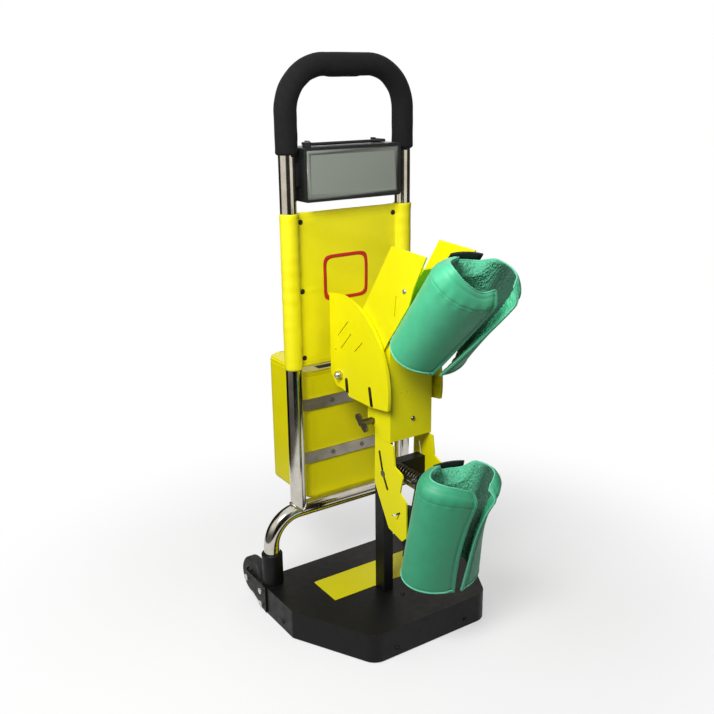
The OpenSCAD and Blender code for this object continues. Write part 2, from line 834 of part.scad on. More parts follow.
// The folding handle, lying forward on the box
module box_handle() {
    side_x = handle_l / 2;
    arm_x = side_x;
    color(black_plastic) translate([0, handle_y, handle_z]) {
        both_sides() {
            rod_x(side_x - lug_w - handle_d - over, arm_x, handle_d);
            translate([arm_x, 0, 0]) sphere(d = handle_d);
            translate([arm_x, 0, 0]) rod_y(-handle_reach, 0, handle_d);
            translate([arm_x, -handle_reach, 0]) sphere(d = handle_d);
        }
        translate([0, -handle_reach, 0]) rod_x(-arm_x, arm_x, handle_d);
    }
}

module bin_body() {
    mid_y = (bin_front + bin_back) / 2;
    knuckle_low = body_high - 2 * barrel_d;
    color(yellow_paint) {
        difference() {
            translate([0, mid_y, bin_low]) linear_extrude(body_high - bin_low) round_rect(bin_w, bin_d, bin_corner_r);
            translate([0, mid_y, bin_low + bin_wall]) linear_extrude(bin_h)
                round_rect(bin_w - 2 * bin_wall, bin_d - 2 * bin_wall, bin_corner_r - bin_wall);
            for (z = [lower_bar_z, upper_bar_z], side = [-1, 1])
                translate([side * rivet_span / 2, 0, z])
                    rod_y(bin_front - over, bin_front + bin_wall + over, screw_d + 2 * fix_gap);
        }
        both_sides() difference() {
            union() {
                translate([0, hinge_y, hinge_z]) rod_x(knuckle_in, knuckle_out, barrel_d);
                translate([knuckle_in, bin_back - bin_wall / 2, knuckle_low])
                    cube([knuckle_out - knuckle_in, hinge_y - bin_back + bin_wall / 2, body_high - knuckle_low]);
                translate([knuckle_in, bin_back + hinge_gap, knuckle_low])
                    cube([knuckle_out - knuckle_in, hinge_y - bin_back - hinge_gap, hinge_z - knuckle_low]);
            }
            translate([0, hinge_y, hinge_z]) rod_x(0, knuckle_out + over, lid_pin_d + 2 * fix_gap);
        }
    }
}

module lid_pin() {
    color(zinc) translate([0, hinge_y, hinge_z]) rod_x(-knuckle_out, knuckle_out, lid_pin_d);
}

// A cap over the bin with a stepped edge, a lip inside the walls and a grip at its front
module bin_lid() {
    mid_y = (bin_front + bin_back) / 2;
    lip_w = bin_w - 2 * bin_wall - 2 * lid_gap;
    lip_d = bin_d - 2 * bin_wall - 2 * lid_gap;
    lip_r = bin_corner_r - bin_wall - lid_gap;
    lip_t = 2;
    grip = [0.6 * bin_w, 20, 0.6 * lid_t];
    neck_t = 0.4 * lid_t;
    color(yellow_paint) difference() {
        union() {
            translate([0, mid_y, bin_high - lid_t]) linear_extrude(lid_t - lid_step) round_rect(bin_w, bin_d, bin_corner_r);
            translate([0, mid_y, bin_high - lid_t]) linear_extrude(lid_t)
                round_rect(bin_w - lid_step, bin_d - lid_step, bin_corner_r - lid_step / 2);
            translate([0, mid_y, bin_high - lid_t - lid_lip]) linear_extrude(lid_lip + over) difference() {
                round_rect(lip_w, lip_d, lip_r);
                round_rect(lip_w - 2 * lip_t, lip_d - 2 * lip_t, lip_r - lip_t);
            }
            translate([0, hinge_y, hinge_z]) rod_x(-barrel_half, barrel_half, barrel_d);
            translate([-barrel_half, bin_back - lid_step, hinge_z - neck_t / 2])
                cube([2 * barrel_half, hinge_y - bin_back + lid_step, neck_t]);
        }
        translate([0, hinge_y, hinge_z]) rod_x(-knuckle_out, knuckle_out, lid_pin_d + 2 * run_gap);
        translate([-grip[0] / 2, bin_front + lid_t, bin_high - grip[2]]) cube(grip + [0, 0, over]);
    }
}

// A plate on the side of the tray that reaches back to the axle
module wheel_bracket() {
    foot_y = bracket_bolt_y - 18;
    end_r = 16;
    side_plate(bracket_in, bracket_out) difference() {
        union() {
            translate([wheel_y, wheel_z]) circle(end_r);
            polygon([[foot_y, skirt_clear + 2], [wheel_y, wheel_z - end_r], [wheel_y, wheel_z + end_r], [foot_y, base_h]]);
        }
        translate([wheel_y, wheel_z]) circle(d = axle_d + 2 * fix_gap);
        for (z = bracket_bolt_zs) translate([bracket_bolt_y, z]) circle(d = bolt_d + 2 * fix_gap);
    }
}

module wheel_bracket_left() {
    color(black_paint) mirror([1, 0, 0]) wheel_bracket();
}

module wheel_bracket_right() {
    color(black_paint) wheel_bracket();
}

module bracket_bolts() {
    color(zinc) both_sides() at_bracket_bolts() {
        rod_x(base_w / 2 - tray_sheet - 10, bracket_out, bolt_d);
        translate([bracket_out, 0, 0]) rotate([0, 90, 0]) cylinder(h = bolt_head_h, d = bolt_head_d, $fn = 6);
    }
}

module axle_bolts() {
    collar_d = axle_d + 6;
    nut_l = 6;
    color(zinc) both_sides() translate([0, wheel_y, wheel_z]) {
        rod_x(wheel_in - slide_gap - nut_l, bracket_out, axle_d);
        rod_x(wheel_out + slide_gap, bracket_in, collar_d);
        rod_x(wheel_in - slide_gap - nut_l, wheel_in - slide_gap, collar_d);
        translate([bracket_out, 0, 0]) rotate([0, 90, 0]) cylinder(h = bolt_head_h, d = bolt_head_d + 2, $fn = 6);
    }
}

module wheel_hub() {
    dish = 4;
    color(black_plastic) translate([0, wheel_y, wheel_z]) difference() {
        rod_x(wheel_in, wheel_out, hub_d - 2 * fix_gap);
        translate([wheel_out - dish, 0, 0]) rotate([0, 90, 0]) difference() {
            cylinder(h = dish + over, d = hub_d - 8);
            translate([0, 0, -over]) cylinder(h = dish + 3 * over, d = axle_d + 12);
        }
        rod_x(wheel_in - over, wheel_out + over, axle_d + 2 * run_gap);
    }
}

module wheel_hub_left() {
    mirror([1, 0, 0]) wheel_hub();
}

module wheel_hub_right() {
    wheel_hub();
}

module wheel_tyre() {
    shoulder = 4;
    half = wheel_w / 2;
    color(rubber) translate([(wheel_in + wheel_out) / 2, wheel_y, wheel_z]) rotate([0, 90, 0]) rotate_extrude()
        polygon([[hub_d / 2, -half], [wheel_r - shoulder, -half], [wheel_r, -half + shoulder],
            [wheel_r, half - shoulder], [wheel_r - shoulder, half], [hub_d / 2, half]]);
}

module wheel_tyre_left() {
    mirror([1, 0, 0]) wheel_tyre();
}

module wheel_tyre_right() {
    wheel_tyre();
}

module post_foot() {
    color(black_paint) translate([post_x, post_y, ballast_high]) linear_extrude(foot_plate_t) difference() {
        square([foot_plate_w, foot_plate_d], center = true);
        for (side = [-1, 1]) translate([side * foot_screw_x, 0]) circle(d = screw_d + 2 * fix_gap);
    }
}

module post() {
    low = ballast_high + foot_plate_t;
    color(black_paint) translate([post_x, post_y, low]) linear_extrude(post_top - low) difference() {
        round_rect(post_w, post_d, 2);
        square([post_w - 2 * post_wall, post_d - 2 * post_wall], center = true);
    }
}

module post_cap() {
    plug = 12;
    color(black_plastic) translate([post_x, post_y, post_top]) {
        linear_extrude(4) round_rect(post_w, post_d, 2);
        translate([0, 0, -plug]) linear_extrude(plug)
            square([post_w - 2 * post_wall - 2 * fix_gap, post_d - 2 * post_wall - 2 * fix_gap], center = true);
    }
}

// A place on a leg, from steps back from the front face and down from the lower edge
function on_leg(step) = [web_y + step[0], web_low + step[1]];

// Outline of one cheek with its leg and the ear that holds the pivot bolt
module cheek_outline() {
    difference() {
        union() {
            translate([web_y, web_low - over]) square([cheek_d, web_high - web_low + over]);
            polygon([for (step = leg_steps) on_leg(step)]);
            translate([pivot_y, pivot_z]) circle(ear_r);
            polygon([[cheek_back - over, pivot_z - 48], [pivot_y, pivot_z - ear_r],
                [pivot_y, pivot_z + ear_r], [cheek_back - over, web_high]]);
        }
        translate([pivot_y, pivot_z]) circle(d = pivot_d + 2 * fix_gap);
        slot(on_leg(leg_slot_top), on_leg(block_bolt), 5);
        slot(on_leg(block_bolt), on_leg(leg_slot[1]), 5);
        translate(on_leg(block_bolt)) circle(d = bolt_d + 2 * fix_gap);
        slot(on_leg(hook_slot[0]), on_leg(hook_slot[1]), 3.5);
        slot(on_leg(hook_slot[1]), on_leg(hook_slot_end), 2.5);
        translate([lower_y, lower_pivot_z]) circle(d = lower_pin_d + 2 * fix_gap);
    }
}

module carriage() {
    color(yellow_paint) difference() {
        union() {
            both_sides() side_plate(cheek_in, cheek_out) cheek_outline();
            translate([-cheek_out, web_y, web_low]) cube([carriage_w, plate_t, web_high - web_low]);
        }
        translate(web_screw) rod_y(-over, plate_t + over, screw_d + 2 * fix_gap);
        for (x = [-22, -8]) translate([x, 0, web_low + 92]) rod_y(web_y - over, web_y + plate_t + over, 3);
    }
}

module guide_block() {
    hole_w = post_w + 2 * slide_gap;
    hole_d = post_d + 2 * slide_gap;
    right = post_x + hole_w / 2 + guide_wall;
    front = post_y - hole_d / 2 - guide_wall;
    color(yellow_paint) difference() {
        translate([-cheek_in, front, guide_low]) cube([right + cheek_in, hole_d + 2 * guide_wall, guide_l]);
        translate([post_x - hole_w / 2, post_y - hole_d / 2, guide_low - over]) cube([hole_w, hole_d, guide_l + 2 * over]);
        translate([0, post_y, wing_z]) rod_x(-cheek_in - over, post_x, clamp_d + 2 * run_gap);
    }
}

module wing_screw() {
    tip = post_x - post_w / 2 - slide_gap;
    color(zinc) translate([0, post_y, wing_z]) {
        rod_x(-wing_hub_in, tip, clamp_d);
        rod_x(-wing_hub_in - wing_hub_l, -wing_hub_in, wing_hub_d);
        rotate([35, 0, 0]) side_plate(-wing_hub_in - wing_hub_l + 2, -wing_hub_in - wing_hub_l + 2 + wing_t)
            difference() {
                slot([-wing_span / 2 + 7, 0], [wing_span / 2 - 7, 0], 14);
                for (side = [-1, 1]) translate([0, side * 11]) circle(8);
            }
    }
}

// Setting slots and holes of a quadrant, as steps from the pivot
setting_slots = [[[-29, 112], [6, 78]], [[-39, 90], [-2, 53]], [[-76, 81], [-49, 57]]];
setting_holes = [[16, 46], [-11, 58]];

// Outline of a quadrant, with its arc about the pivot, an open slot and a notch beside the ear
module quadrant_outline() {
    rear = pivot_y + 35;
    under = pivot_z - 37;
    difference() {
        intersection() {
            translate([pivot_y, pivot_z]) circle(quadrant_r, $fn = 96);
            polygon([[rear, pivot_z + quadrant_r], [rear, pivot_z - 4], [pivot_y + 16, pivot_z - 26],
                [pivot_y - 18, pivot_z - 29], [pivot_y - 30, under], [pivot_y - 105, under],
                [pivot_y - quadrant_r, under + 8], [pivot_y - quadrant_r, pivot_z + quadrant_r]]);
        }
        slot([pivot_y - 21, pivot_z - 6], [pivot_y - 25, under - 10], 6);
        slot([pivot_y - 100, pivot_z - 2], [pivot_y - 108, under - 6], 5);
        translate([pivot_y, pivot_z]) {
            circle(d = pivot_d + 2 * fix_gap);
            for (ends = setting_slots) slot(ends[0], ends[1], 2);
            for (place = setting_holes) translate(place) circle(d = 5);
        }
    }
}

module quadrant_left() {
    color(yellow_paint) side_plate(-quad_out, -quad_in) quadrant_outline();
}

module quadrant_right() {
    color(yellow_paint) side_plate(quad_in, quad_out) quadrant_outline();
}

// Studs between the cheeks and the quadrants, and washers on the pivot bolt
module quadrant_spacers() {
    stud_d = 12;
    stud_places = [[web_y + 18, pivot_z - 13], [cheek_back + 30, pivot_z - 28]];
    washer_gap = 0.1;
    color(yellow_paint) both_sides() {
        for (p = stud_places) translate([0, p[0], p[1]]) rod_x(cheek_out, quad_in, stud_d);
        for (from = [cheek_out, arm_out]) translate([0, pivot_y, pivot_z]) difference() {
            rod_x(from + washer_gap, from + plate_gap - washer_gap, 2 * pivot_d);
            rod_x(from - over, from + plate_gap + over, pivot_d + 2 * fix_gap);
        }
    }
}

module pivot_bolt() {
    nut_l = 6;
    color(zinc) translate([0, pivot_y, pivot_z]) {
        rod_x(-quad_out - nut_l, quad_out + nut_l, pivot_d);
        both_sides() translate([quad_out, 0, 0]) rotate([0, 90, 0]) {
            cylinder(h = nut_l, d = 1.8 * pivot_d, $fn = 6);
            translate([0, 0, nut_l]) difference() {
                sphere(d = 1.5 * pivot_d);
                translate([0, 0, -pivot_d]) cylinder(h = pivot_d, d = 2 * pivot_d);
            }
        }
    }
}

module spring_block() {
    back = web_y + block_front + block_d;
    spigot_l = 18;
    color(black_paint) difference() {
        union() {
            translate([-cheek_in, web_y + block_front, block_low])
                cube([2 * cheek_in, back - web_y - block_front, block_high - block_low]);
            translate([spring_x, 0, spring_z])
                rod_y(spring_back - spigot_l, spring_back + over, spring_d - 2 * spring_wire - 2);
        }
        for (side = [-1, 1]) translate([0, on_leg(block_bolt)[0], on_leg(block_bolt)[1]])
            rod_x(side < 0 ? -cheek_in - over : cheek_in - 20, side < 0 ? 20 - cheek_in : cheek_in + over,
                bolt_d + 2 * fix_gap);
        translate([spring_x, 0, rod_z]) rod_y(spring_back - over, spring_back + 12, rod_d + 2 * fix_gap);
    }
}

// Bolts of the spring block, and the screw in the carriage's front
module block_bolts() {
    color(steel) both_sides() translate([0, on_leg(block_bolt)[0], on_leg(block_bolt)[1]]) {
        rod_x(cheek_in - 18, cheek_out, bolt_d);
        rod_x(cheek_out, cheek_out + 1.2, bolt_head_d - 1);
    }
    color(steel) translate(web_screw) rotate([90, 0, 0]) button_screw(plate_t + 4);
}

module stop_rod() {
    color(zinc) translate([spring_x, 0, rod_z]) rod_y(rod_tip, spring_back + 11, rod_d);
}

// One unbroken coil of wire along Y, with a flat cap on each end
module push_spring() {
    rings = len(coil_centres);
    climb = -coil_l / spring_curls;
    points = [
        for (i = [0 : rings - 1])
            let (
                turn = 360 * i / curl_rings,
                out = [cos(turn), 0, sin(turn)],
                along = unit([-2 * PI * coil_r * sin(turn), climb, 2 * PI * coil_r * cos(turn)]),
                side = cross(along, out))
            for (k = [0 : curl_sides - 1])
                coil_centres[i] + spring_wire / 2
                    * (cos(360 * k / curl_sides) * out + sin(360 * k / curl_sides) * side)];
    skin = [
        for (i = [0 : rings - 2], k = [0 : curl_sides - 1])
            let (a = i * curl_sides + k, b = i * curl_sides + (k + 1) % curl_sides)
            each [[a, a + curl_sides, b], [b, a + curl_sides, b + curl_sides]]];
    last = (rings - 1) * curl_sides;
    caps = [
        for (k = [1 : curl_sides - 2])
            each [[0, k, k + 1], [last, last + k + 1, last + k]]];
    color(steel) polyhedron(points, concat(skin, caps));
}

module lower_pins() {
    color(yellow_paint) both_sides() translate([0, lower_y, lower_pivot_z])
        rod_x(bracket_half - plate_t - 1, cheek_out, lower_pin_d);
}

// The arm's own frame: its origin on the pivot, z along the arm
module in_arm() {
    translate([0, pivot_y, pivot_z]) rotate([upper_lean, 0, 0]) children();
}

// The lower pad's own frame: its origin on the pins, z along the pad
module in_lower_pad() {
    translate([0, lower_y, lower_pivot_z]) rotate([lower_lean, 0, 0]) children();
}

// Outline of an arm plate, whose lower front stands forward by a brow
module arm_outline(brow) {
    difference() {
        union() {
            circle(arm_rear);
            polygon([[arm_rear, 0], [arm_rear + 16, arm_l - 56], [-arm_front + 9, arm_l], [-arm_front, arm_l - 65],
                [-arm_front - brow, arm_l - 100], [-arm_front - brow, arm_l / 3], [-arm_rear, 0]]);
        }
        circle(d = pivot_d + 2 * run_gap);
        translate(tab_place) circle(d = screw_d + 2 * fix_gap);
        slot([-arm_front + 25, tab_place[1] - 26], [-arm_front + 6, tab_place[1] - 58], 2.5);
    }
}

module upper_arm_left() {
    color(yellow_paint) in_arm() side_plate(-arm_out, -arm_in) arm_outline(arm_brow);
}

// The right plate has no brow, since the shell's edge passes there
module upper_arm_right() {
    color(yellow_paint) in_arm() side_plate(arm_in, arm_out) arm_outline(0);
}

// Places of the rivets that hold a shell, along a pad's frame
function shell_rivets(start) = [start + 0.25 * sleeve_l, start + 0.7 * sleeve_l];

module upper_mount() {
    color(yellow_paint) in_arm() difference() {
        union() {
            translate([-arm_in, mount_y - mount_t, mount_low])
                cube([2 * arm_in, mount_t, mount_high - mount_low]);
            both_sides() side_plate(arm_in - plate_t, arm_in) difference() {
                translate([mount_y - over, tab_place[1] - tab_size[1] / 2])
                    square([tab_size[0] + over, tab_size[1]]);
                translate(tab_place) circle(d = screw_d + 2 * fix_gap);
            }
        }
        for (z = shell_rivets(upper_start)) translate([0, 0, z])
            rod_y(mount_y - mount_t - over, mount_y + over, rivet_d + 2 * fix_gap);
    }
}

module arm_bolts() {
    color(zinc) in_arm() {
        both_sides() translate([arm_out, tab_place[0], tab_place[1]]) rotate([0, 90, 0])
            button_screw(2 * plate_t + 4);
        for (z = shell_rivets(upper_start)) translate([0, 0, z])
            shell_rivet(mount_y, mount_y - mount_t - shell_t);
    }
}

// A rivet along Y with its head behind the plate and its foot flush in the shell
module shell_rivet(head_y, foot_y) {
    rod_y(foot_y, head_y, rivet_d);
    rod_y(head_y, head_y + 2, 1.8 * rivet_d);
}

// A point on an oval about a pad's axis, at an angle from the back
function oval(half_w, half_d, angle) = [half_w * sin(angle), half_d * cos(angle)];

// A curved shell behind a sleeve, from a place along the pad's frame
module pad_shell(axis, start, length) {
    steps = 12;
    inner = [sleeve_w / 2 + slide_gap, sleeve_d / 2 + slide_gap];
    outer = inner + [shell_t, shell_t];
    angles = [for (i = [-steps : steps]) shell_turn + shell_half * i / steps];
    difference() {
        translate([0, axis, start]) linear_extrude(length - shell_under) polygon(concat(
            [for (a = angles) oval(outer[0], outer[1], a)],
            [for (i = [len(angles) - 1 : -1 : 0]) oval(inner[0], inner[1], angles[i])]));
        for (z = shell_rivets(start)) translate([0, 0, z])
            rod_y(axis, axis + sleeve_d, rivet_d + 2 * fix_gap);
    }
}

// A padded cloth sleeve: a thick oval, open along a slit from low to high, whose right lip flares and whose top
// is drawn in, stands higher on the left and dips at the slit and before the shell
module pad_sleeve(axis, start, length, low, high, rise, waist, bow, roll) {
    half_steps = 24;
    count = 2 * half_steps + 1;
    loop = 2 * count;
    lip_from = 110;
    flare_from = 50;
    round_from = 18;
    collar = collar_l / length;
    shares = concat([for (i = [0 : 5]) (1 - collar) * i / 5], [1 - 0.65 * collar, 1 - 0.3 * collar, 1]);
    rings = len(shares) - 1;
    slit = function (t) slit_low + (slit_w - slit_low) * t;
    shift = function (t) low + (high - low) * t;
    reach = function (right, t)
        180 - asin((slit(t) + (right ? 2 * shift(t) : 2 * bow * sin(180 * t) - 2 * shift(t))) / sleeve_w);
    lip = function (angle, t) max(0, (abs(angle) - lip_from) / (reach(angle > 0, t) - lip_from));
    flare = function (angle, t)
        1 + pow(max(0, (angle - flare_from) / (reach(true, t) - flare_from)), 2) * lip_flare * (0.2 + 0.8 * t)
        - waist * sin(max(0, min(angle, 90))) * sin(180 * pow(t, 1.3));
    bump = function (angle, mid, half, power) exp(-pow(abs(angle - mid) / half, power));
    back = function (angle) bump(angle, 16, 27, 4);
    above = function (t) max(0, (t - 1 + collar) / collar);
    drawn = function (angle, t) collar_in * pow(above(t), roll) * (1 - back(angle));
    thin = function (angle, t) max(pow(lip(angle, t), 2), back(angle) * above(t));
    wall = function (angle, t)
        max(sleeve_wall - (sleeve_wall - lip_t) * thin(angle, t), drawn(angle, t) + lip_t);
    rim = function (angle, t)
        rise * bump(angle, -95, 45, 2) - corner_dip * bump(abs(angle), 180, 28, 2) - back_dip * back(angle)
        - corner_round * pow(max(0, 1 - (reach(angle > 0, t) - abs(angle)) / round_from), 2);
    points = [
        for (i = [0 : rings], k = [0 : loop - 1])
            let (
                t = shares[i],
                inside = k >= count,
                step = ((inside ? loop - 1 - k : k) - half_steps) / half_steps,
                angle = step * reach(step > 0, t),
                inset = inside ? wall(angle, t) : drawn(angle, t),
                p = oval(sleeve_w / 2 - inset, sleeve_d / 2 - inset, angle) * flare(angle, t),
                drop = front_drop * pow(1 - t, 2) * (1 - cos(angle)) / 2)
            [p[0], axis + p[1], start + length * t - drop + rim(angle, t) * pow(t, 3)]];
    skin = [
        for (i = [0 : rings - 1], k = [0 : loop - 1])
            let (a = i * loop + k, b = i * loop + (k + 1) % loop)
            each [[a, b, a + loop], [b, b + loop, a + loop]]];
    top = rings * loop;
    caps = [
        for (k = [0 : count - 2])
            let (m = loop - 1 - k)
            each [
                [k, m, k + 1], [k + 1, m, m - 1],
                [top + k, top + k + 1, top + m], [top + k + 1, top + m - 1, top + m]]];
    polyhedron(points, concat(skin, caps));
}

module upper_shell() {
    color(black_plastic) in_arm() pad_shell(upper_axis, upper_start, sleeve_l);
}

module upper_sleeve() {
    color(green_cloth) in_arm()
        pad_sleeve(upper_axis, upper_start, sleeve_l, -upper_shift_low, upper_shift, upper_rise, 0, 0, upper_roll);
}

module lower_bracket() {
    back = -lower_reach;
    color(black_paint) difference() {
        union() {
            in_lower_pad() {
                both_sides() side_plate(bracket_half - plate_t, bracket_half) difference() {
                    union() {
                        circle(bracket_ear_r);
                        polygon([[0, -bracket_ear_r], [0, bracket_ear_r], [back, 70], [back, -30]]);
                    }
                    circle(d = lower_pin_d + 2 * run_gap);
                }
                translate([-bracket_half, back - plate_t, bracket_low])
                    cube([2 * bracket_half, plate_t, bracket_high - bracket_low]);
            }
            translate([spring_x, 0, spring_z])
                rod_y(spring_end - seat_l - 2, spring_end, seat_d);
        }
        in_lower_pad() {
            for (z = shell_rivets(-lower_drop)) translate([0, 0, z])
                rod_y(back - plate_t - over, back + over, rivet_d + 2 * fix_gap);
            translate([-bracket_half, back - plate_t - 30, bracket_low]) cube([2 * bracket_half, 30, 2 * sleeve_l]);
        }
    }
}

module lower_rivets() {
    color(zinc) in_lower_pad() for (z = shell_rivets(-lower_drop)) translate([0, 0, z])
        shell_rivet(-lower_reach, -lower_reach - plate_t - shell_t);
}

module lower_shell() {
    color(black_plastic) in_lower_pad() pad_shell(lower_axis, -lower_drop, lower_sleeve_l);
}

module lower_sleeve() {
    color(green_cloth) in_lower_pad()
        pad_sleeve(lower_axis, -lower_drop, lower_sleeve_l, 0, lower_shift, lower_rise, lower_waist, lower_bow, lower_roll);
}

base_tray();
ballast_plate();
base_feet();
base_screws();
tray_standoff();
base_label();
socket_left();
socket_right();
stirrup_tube();
upright_hoop();
foam_grip();
upper_cross_bar();
lower_cross_bar();
bar_rivets();
banner();
banner_snaps();
box_shell();
box_bezel();
box_panel();
box_back();
box_battery();
box_brackets();
box_knob();
box_handle();
bin_body();
lid_pin();
bin_lid();
wheel_bracket_left();
wheel_bracket_right();
bracket_bolts();
axle_bolts();
wheel_hub_left();
wheel_hub_right();
wheel_tyre_left();
wheel_tyre_right();
post_foot();
post();
post_cap();
carriage();
guide_block();
wing_screw();
quadrant_left();
quadrant_right();
quadrant_spacers();
pivot_bolt();
spring_block();
block_bolts();
stop_rod();
push_spring();
lower_pins();
upper_arm_left();
upper_arm_right();
upper_mount();
arm_bolts();
upper_shell();
upper_sleeve();
lower_bracket();
lower_rivets();
lower_shell();
lower_sleeve();
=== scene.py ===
"""Looks of an escalator handrail cleaning stand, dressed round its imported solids.

Lengths are in metres in the solids' frame: the origin is on the floor under the base, +X is right, +Y back
and +Z up.
"""

import json
import math

import bmesh
import bpy
import numpy as np
from mathutils import Matrix

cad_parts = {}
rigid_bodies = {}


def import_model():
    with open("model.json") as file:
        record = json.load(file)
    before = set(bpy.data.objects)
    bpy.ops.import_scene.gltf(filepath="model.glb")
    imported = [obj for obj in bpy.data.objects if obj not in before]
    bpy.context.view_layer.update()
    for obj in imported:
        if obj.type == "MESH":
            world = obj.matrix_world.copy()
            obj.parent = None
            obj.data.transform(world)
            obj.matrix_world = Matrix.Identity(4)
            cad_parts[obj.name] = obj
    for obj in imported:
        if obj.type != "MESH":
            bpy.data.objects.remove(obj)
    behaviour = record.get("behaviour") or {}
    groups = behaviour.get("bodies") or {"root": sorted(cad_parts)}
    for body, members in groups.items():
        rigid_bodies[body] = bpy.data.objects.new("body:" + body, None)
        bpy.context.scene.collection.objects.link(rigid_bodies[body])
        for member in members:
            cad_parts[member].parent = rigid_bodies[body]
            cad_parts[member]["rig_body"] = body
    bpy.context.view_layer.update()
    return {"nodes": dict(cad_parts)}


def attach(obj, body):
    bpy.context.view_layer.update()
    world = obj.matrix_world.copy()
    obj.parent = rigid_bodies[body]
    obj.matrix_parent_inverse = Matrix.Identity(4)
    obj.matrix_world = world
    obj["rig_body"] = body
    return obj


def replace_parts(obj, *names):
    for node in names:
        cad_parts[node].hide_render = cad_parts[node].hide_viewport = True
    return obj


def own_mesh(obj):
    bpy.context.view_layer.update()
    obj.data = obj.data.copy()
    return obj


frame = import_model()
MM = 0.001
TAU = 2 * math.pi


# Mesh making

def grid_faces(rows, cols, wrap_rows=False, wrap_cols=False):
    """Four-cornered faces between neighbouring points of a grid, closed across an edge where it wraps."""
    i, j = grid(np.arange(rows - (not wrap_rows)), np.arange(cols - (not wrap_cols)))
    below, right = (i + 1) % rows, (j + 1) % cols
    corners = [i * cols + j, below * cols + j, below * cols + right, i * cols + right]
    return np.stack(corners, -1).reshape(-1, 4)


def round_angles(count):
    """Even angles once round a circle."""
    return np.linspace(0, TAU, count, endpoint=False)


def grid(rows, cols):
    """Two values over a grid, one that changes from row to row and one from column to column."""
    return np.meshgrid(rows, cols, indexing="ij")


def join(rows):
    """Rows of values, each value filled out to its row's length, set end to end."""
    return [np.concatenate(part) for part in zip(*[np.broadcast_arrays(*row) for row in rows])]


def evenly(line, count, endpoint=True):
    """Points evenly spaced along a line of plan points, and their distances along it."""
    gone = np.concatenate([[0], np.cumsum(np.linalg.norm(np.diff(line, axis=0), axis=1))])
    d = np.linspace(0, gone[-1], count, endpoint=endpoint)
    return np.stack([np.interp(d, gone, line[:, 0]), np.interp(d, gone, line[:, 1])], 1), d


def unit(vectors):
    """Vectors along the last axis, each made one long."""
    return vectors / np.linalg.norm(vectors, axis=-1, keepdims=True)


def hump(x, middle, width, power=2):
    """A smooth hump, 1 at its middle and near 0 beyond its width: e to minus a power of the way off."""
    return np.exp(-((x - middle) / width) ** power)


def link(name, data):
    """A new object for a mesh, a lamp or a camera, put in the scene."""
    made = bpy.data.objects.new(name, data)
    bpy.context.scene.collection.objects.link(made)
    return made


def make_piece(name, points, faces, body, finishes, slot, by_face=None, uv=None, merge=0.0, outwards=False):
    """A mesh piece from arrays of points and faces, riding on a body, with one finish or several by face."""
    mesh = bpy.data.meshes.new(name)
    corners = faces.tolist() if isinstance(faces, np.ndarray) else faces
    mesh.from_pydata(np.asarray(points, float).reshape(-1, 3).tolist(), [], corners)
    for finish in finishes if isinstance(finishes, (list, tuple)) else [finishes]:
        mesh.materials.append(finish)
    if by_face is not None:
        mesh.polygons.foreach_set("material_index", np.asarray(by_face, np.int32))
    if uv is not None:
        corner = np.zeros(len(mesh.loops), np.int32)
        mesh.loops.foreach_get("vertex_index", corner)
        layer = mesh.uv_layers.new(name="along")
        layer.data.foreach_set("uv", np.asarray(uv, np.float32).reshape(-1, 2)[corner].ravel())
    if merge or outwards:
        shell = bmesh.new()
        shell.from_mesh(mesh)
        if merge:
            bmesh.ops.remove_doubles(shell, verts=shell.verts, dist=merge)
        if outwards:
            bmesh.ops.recalc_face_normals(shell, faces=shell.faces)
        shell.to_mesh(mesh)
        shell.free()
    mesh.polygons.foreach_set("use_smooth", np.ones(len(mesh.polygons), bool))
    mesh.update()
    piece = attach(link(name, mesh), body)
    return piece


def along_path(path, across, profile):
    """A profile of (sideways, outwards) offsets carried along a path, square to it.

    Each row is the path's point plus the profile's offsets along a fixed sideways direction and along the
    direction that is square to it and to the path's tangent.
    """
    tangent = unit(np.gradient(path, axis=0))
    out = unit(np.cross(tangent, np.broadcast_to(np.asarray(across, float), path.shape)))
    side = np.cross(out, tangent)
    profile = np.asarray(profile, float)
    if profile.ndim == 2:
        profile = np.broadcast_to(profile, (len(path),) + profile.shape)
    return path[:, None] + profile[..., :1] * side[:, None] + profile[..., 1:] * out[:, None]


def arch_path(half_span, low, top, bend, y, step):
    """A path up one side, round a bend, across the top and down the other side, in the plane of constant y.

    It is worked out from the distance along it: a straight rise, a quarter circle, a level run, a quarter
    circle and a straight fall.
    """
    rise, run, arc = top - bend - low, 2 * (half_span - bend), bend * math.pi / 2
    marks = np.cumsum([0, rise, arc, run, arc, rise])
    steps = [max(2, int(math.ceil(length / step))) for length in (rise, arc, run, arc, rise)]
    d = [np.linspace(marks[k], marks[k + 1], steps[k], endpoint=False) for k in range(5)]
    d = np.concatenate(d + [marks[5:]])
    turn = np.clip((d - marks[1]) / bend, 0, math.pi / 2)
    back = np.clip((d - marks[3]) / bend, 0, math.pi / 2)
    x = -half_span + bend * (1 - np.cos(turn)) + np.clip(d - marks[2], 0, run) + bend * np.sin(back)
    z = low + np.clip(d, 0, rise) + bend * np.sin(turn)
    z = z - bend * (1 - np.cos(back)) - np.clip(d - marks[4], 0, rise)
    return np.stack([x, np.full_like(x, y), z], 1), d


def ring(radius, count):
    """Points round a circle as (sideways, outwards) offsets."""
    a = round_angles(count)
    return np.stack([radius * np.cos(a), radius * np.sin(a)], 1)


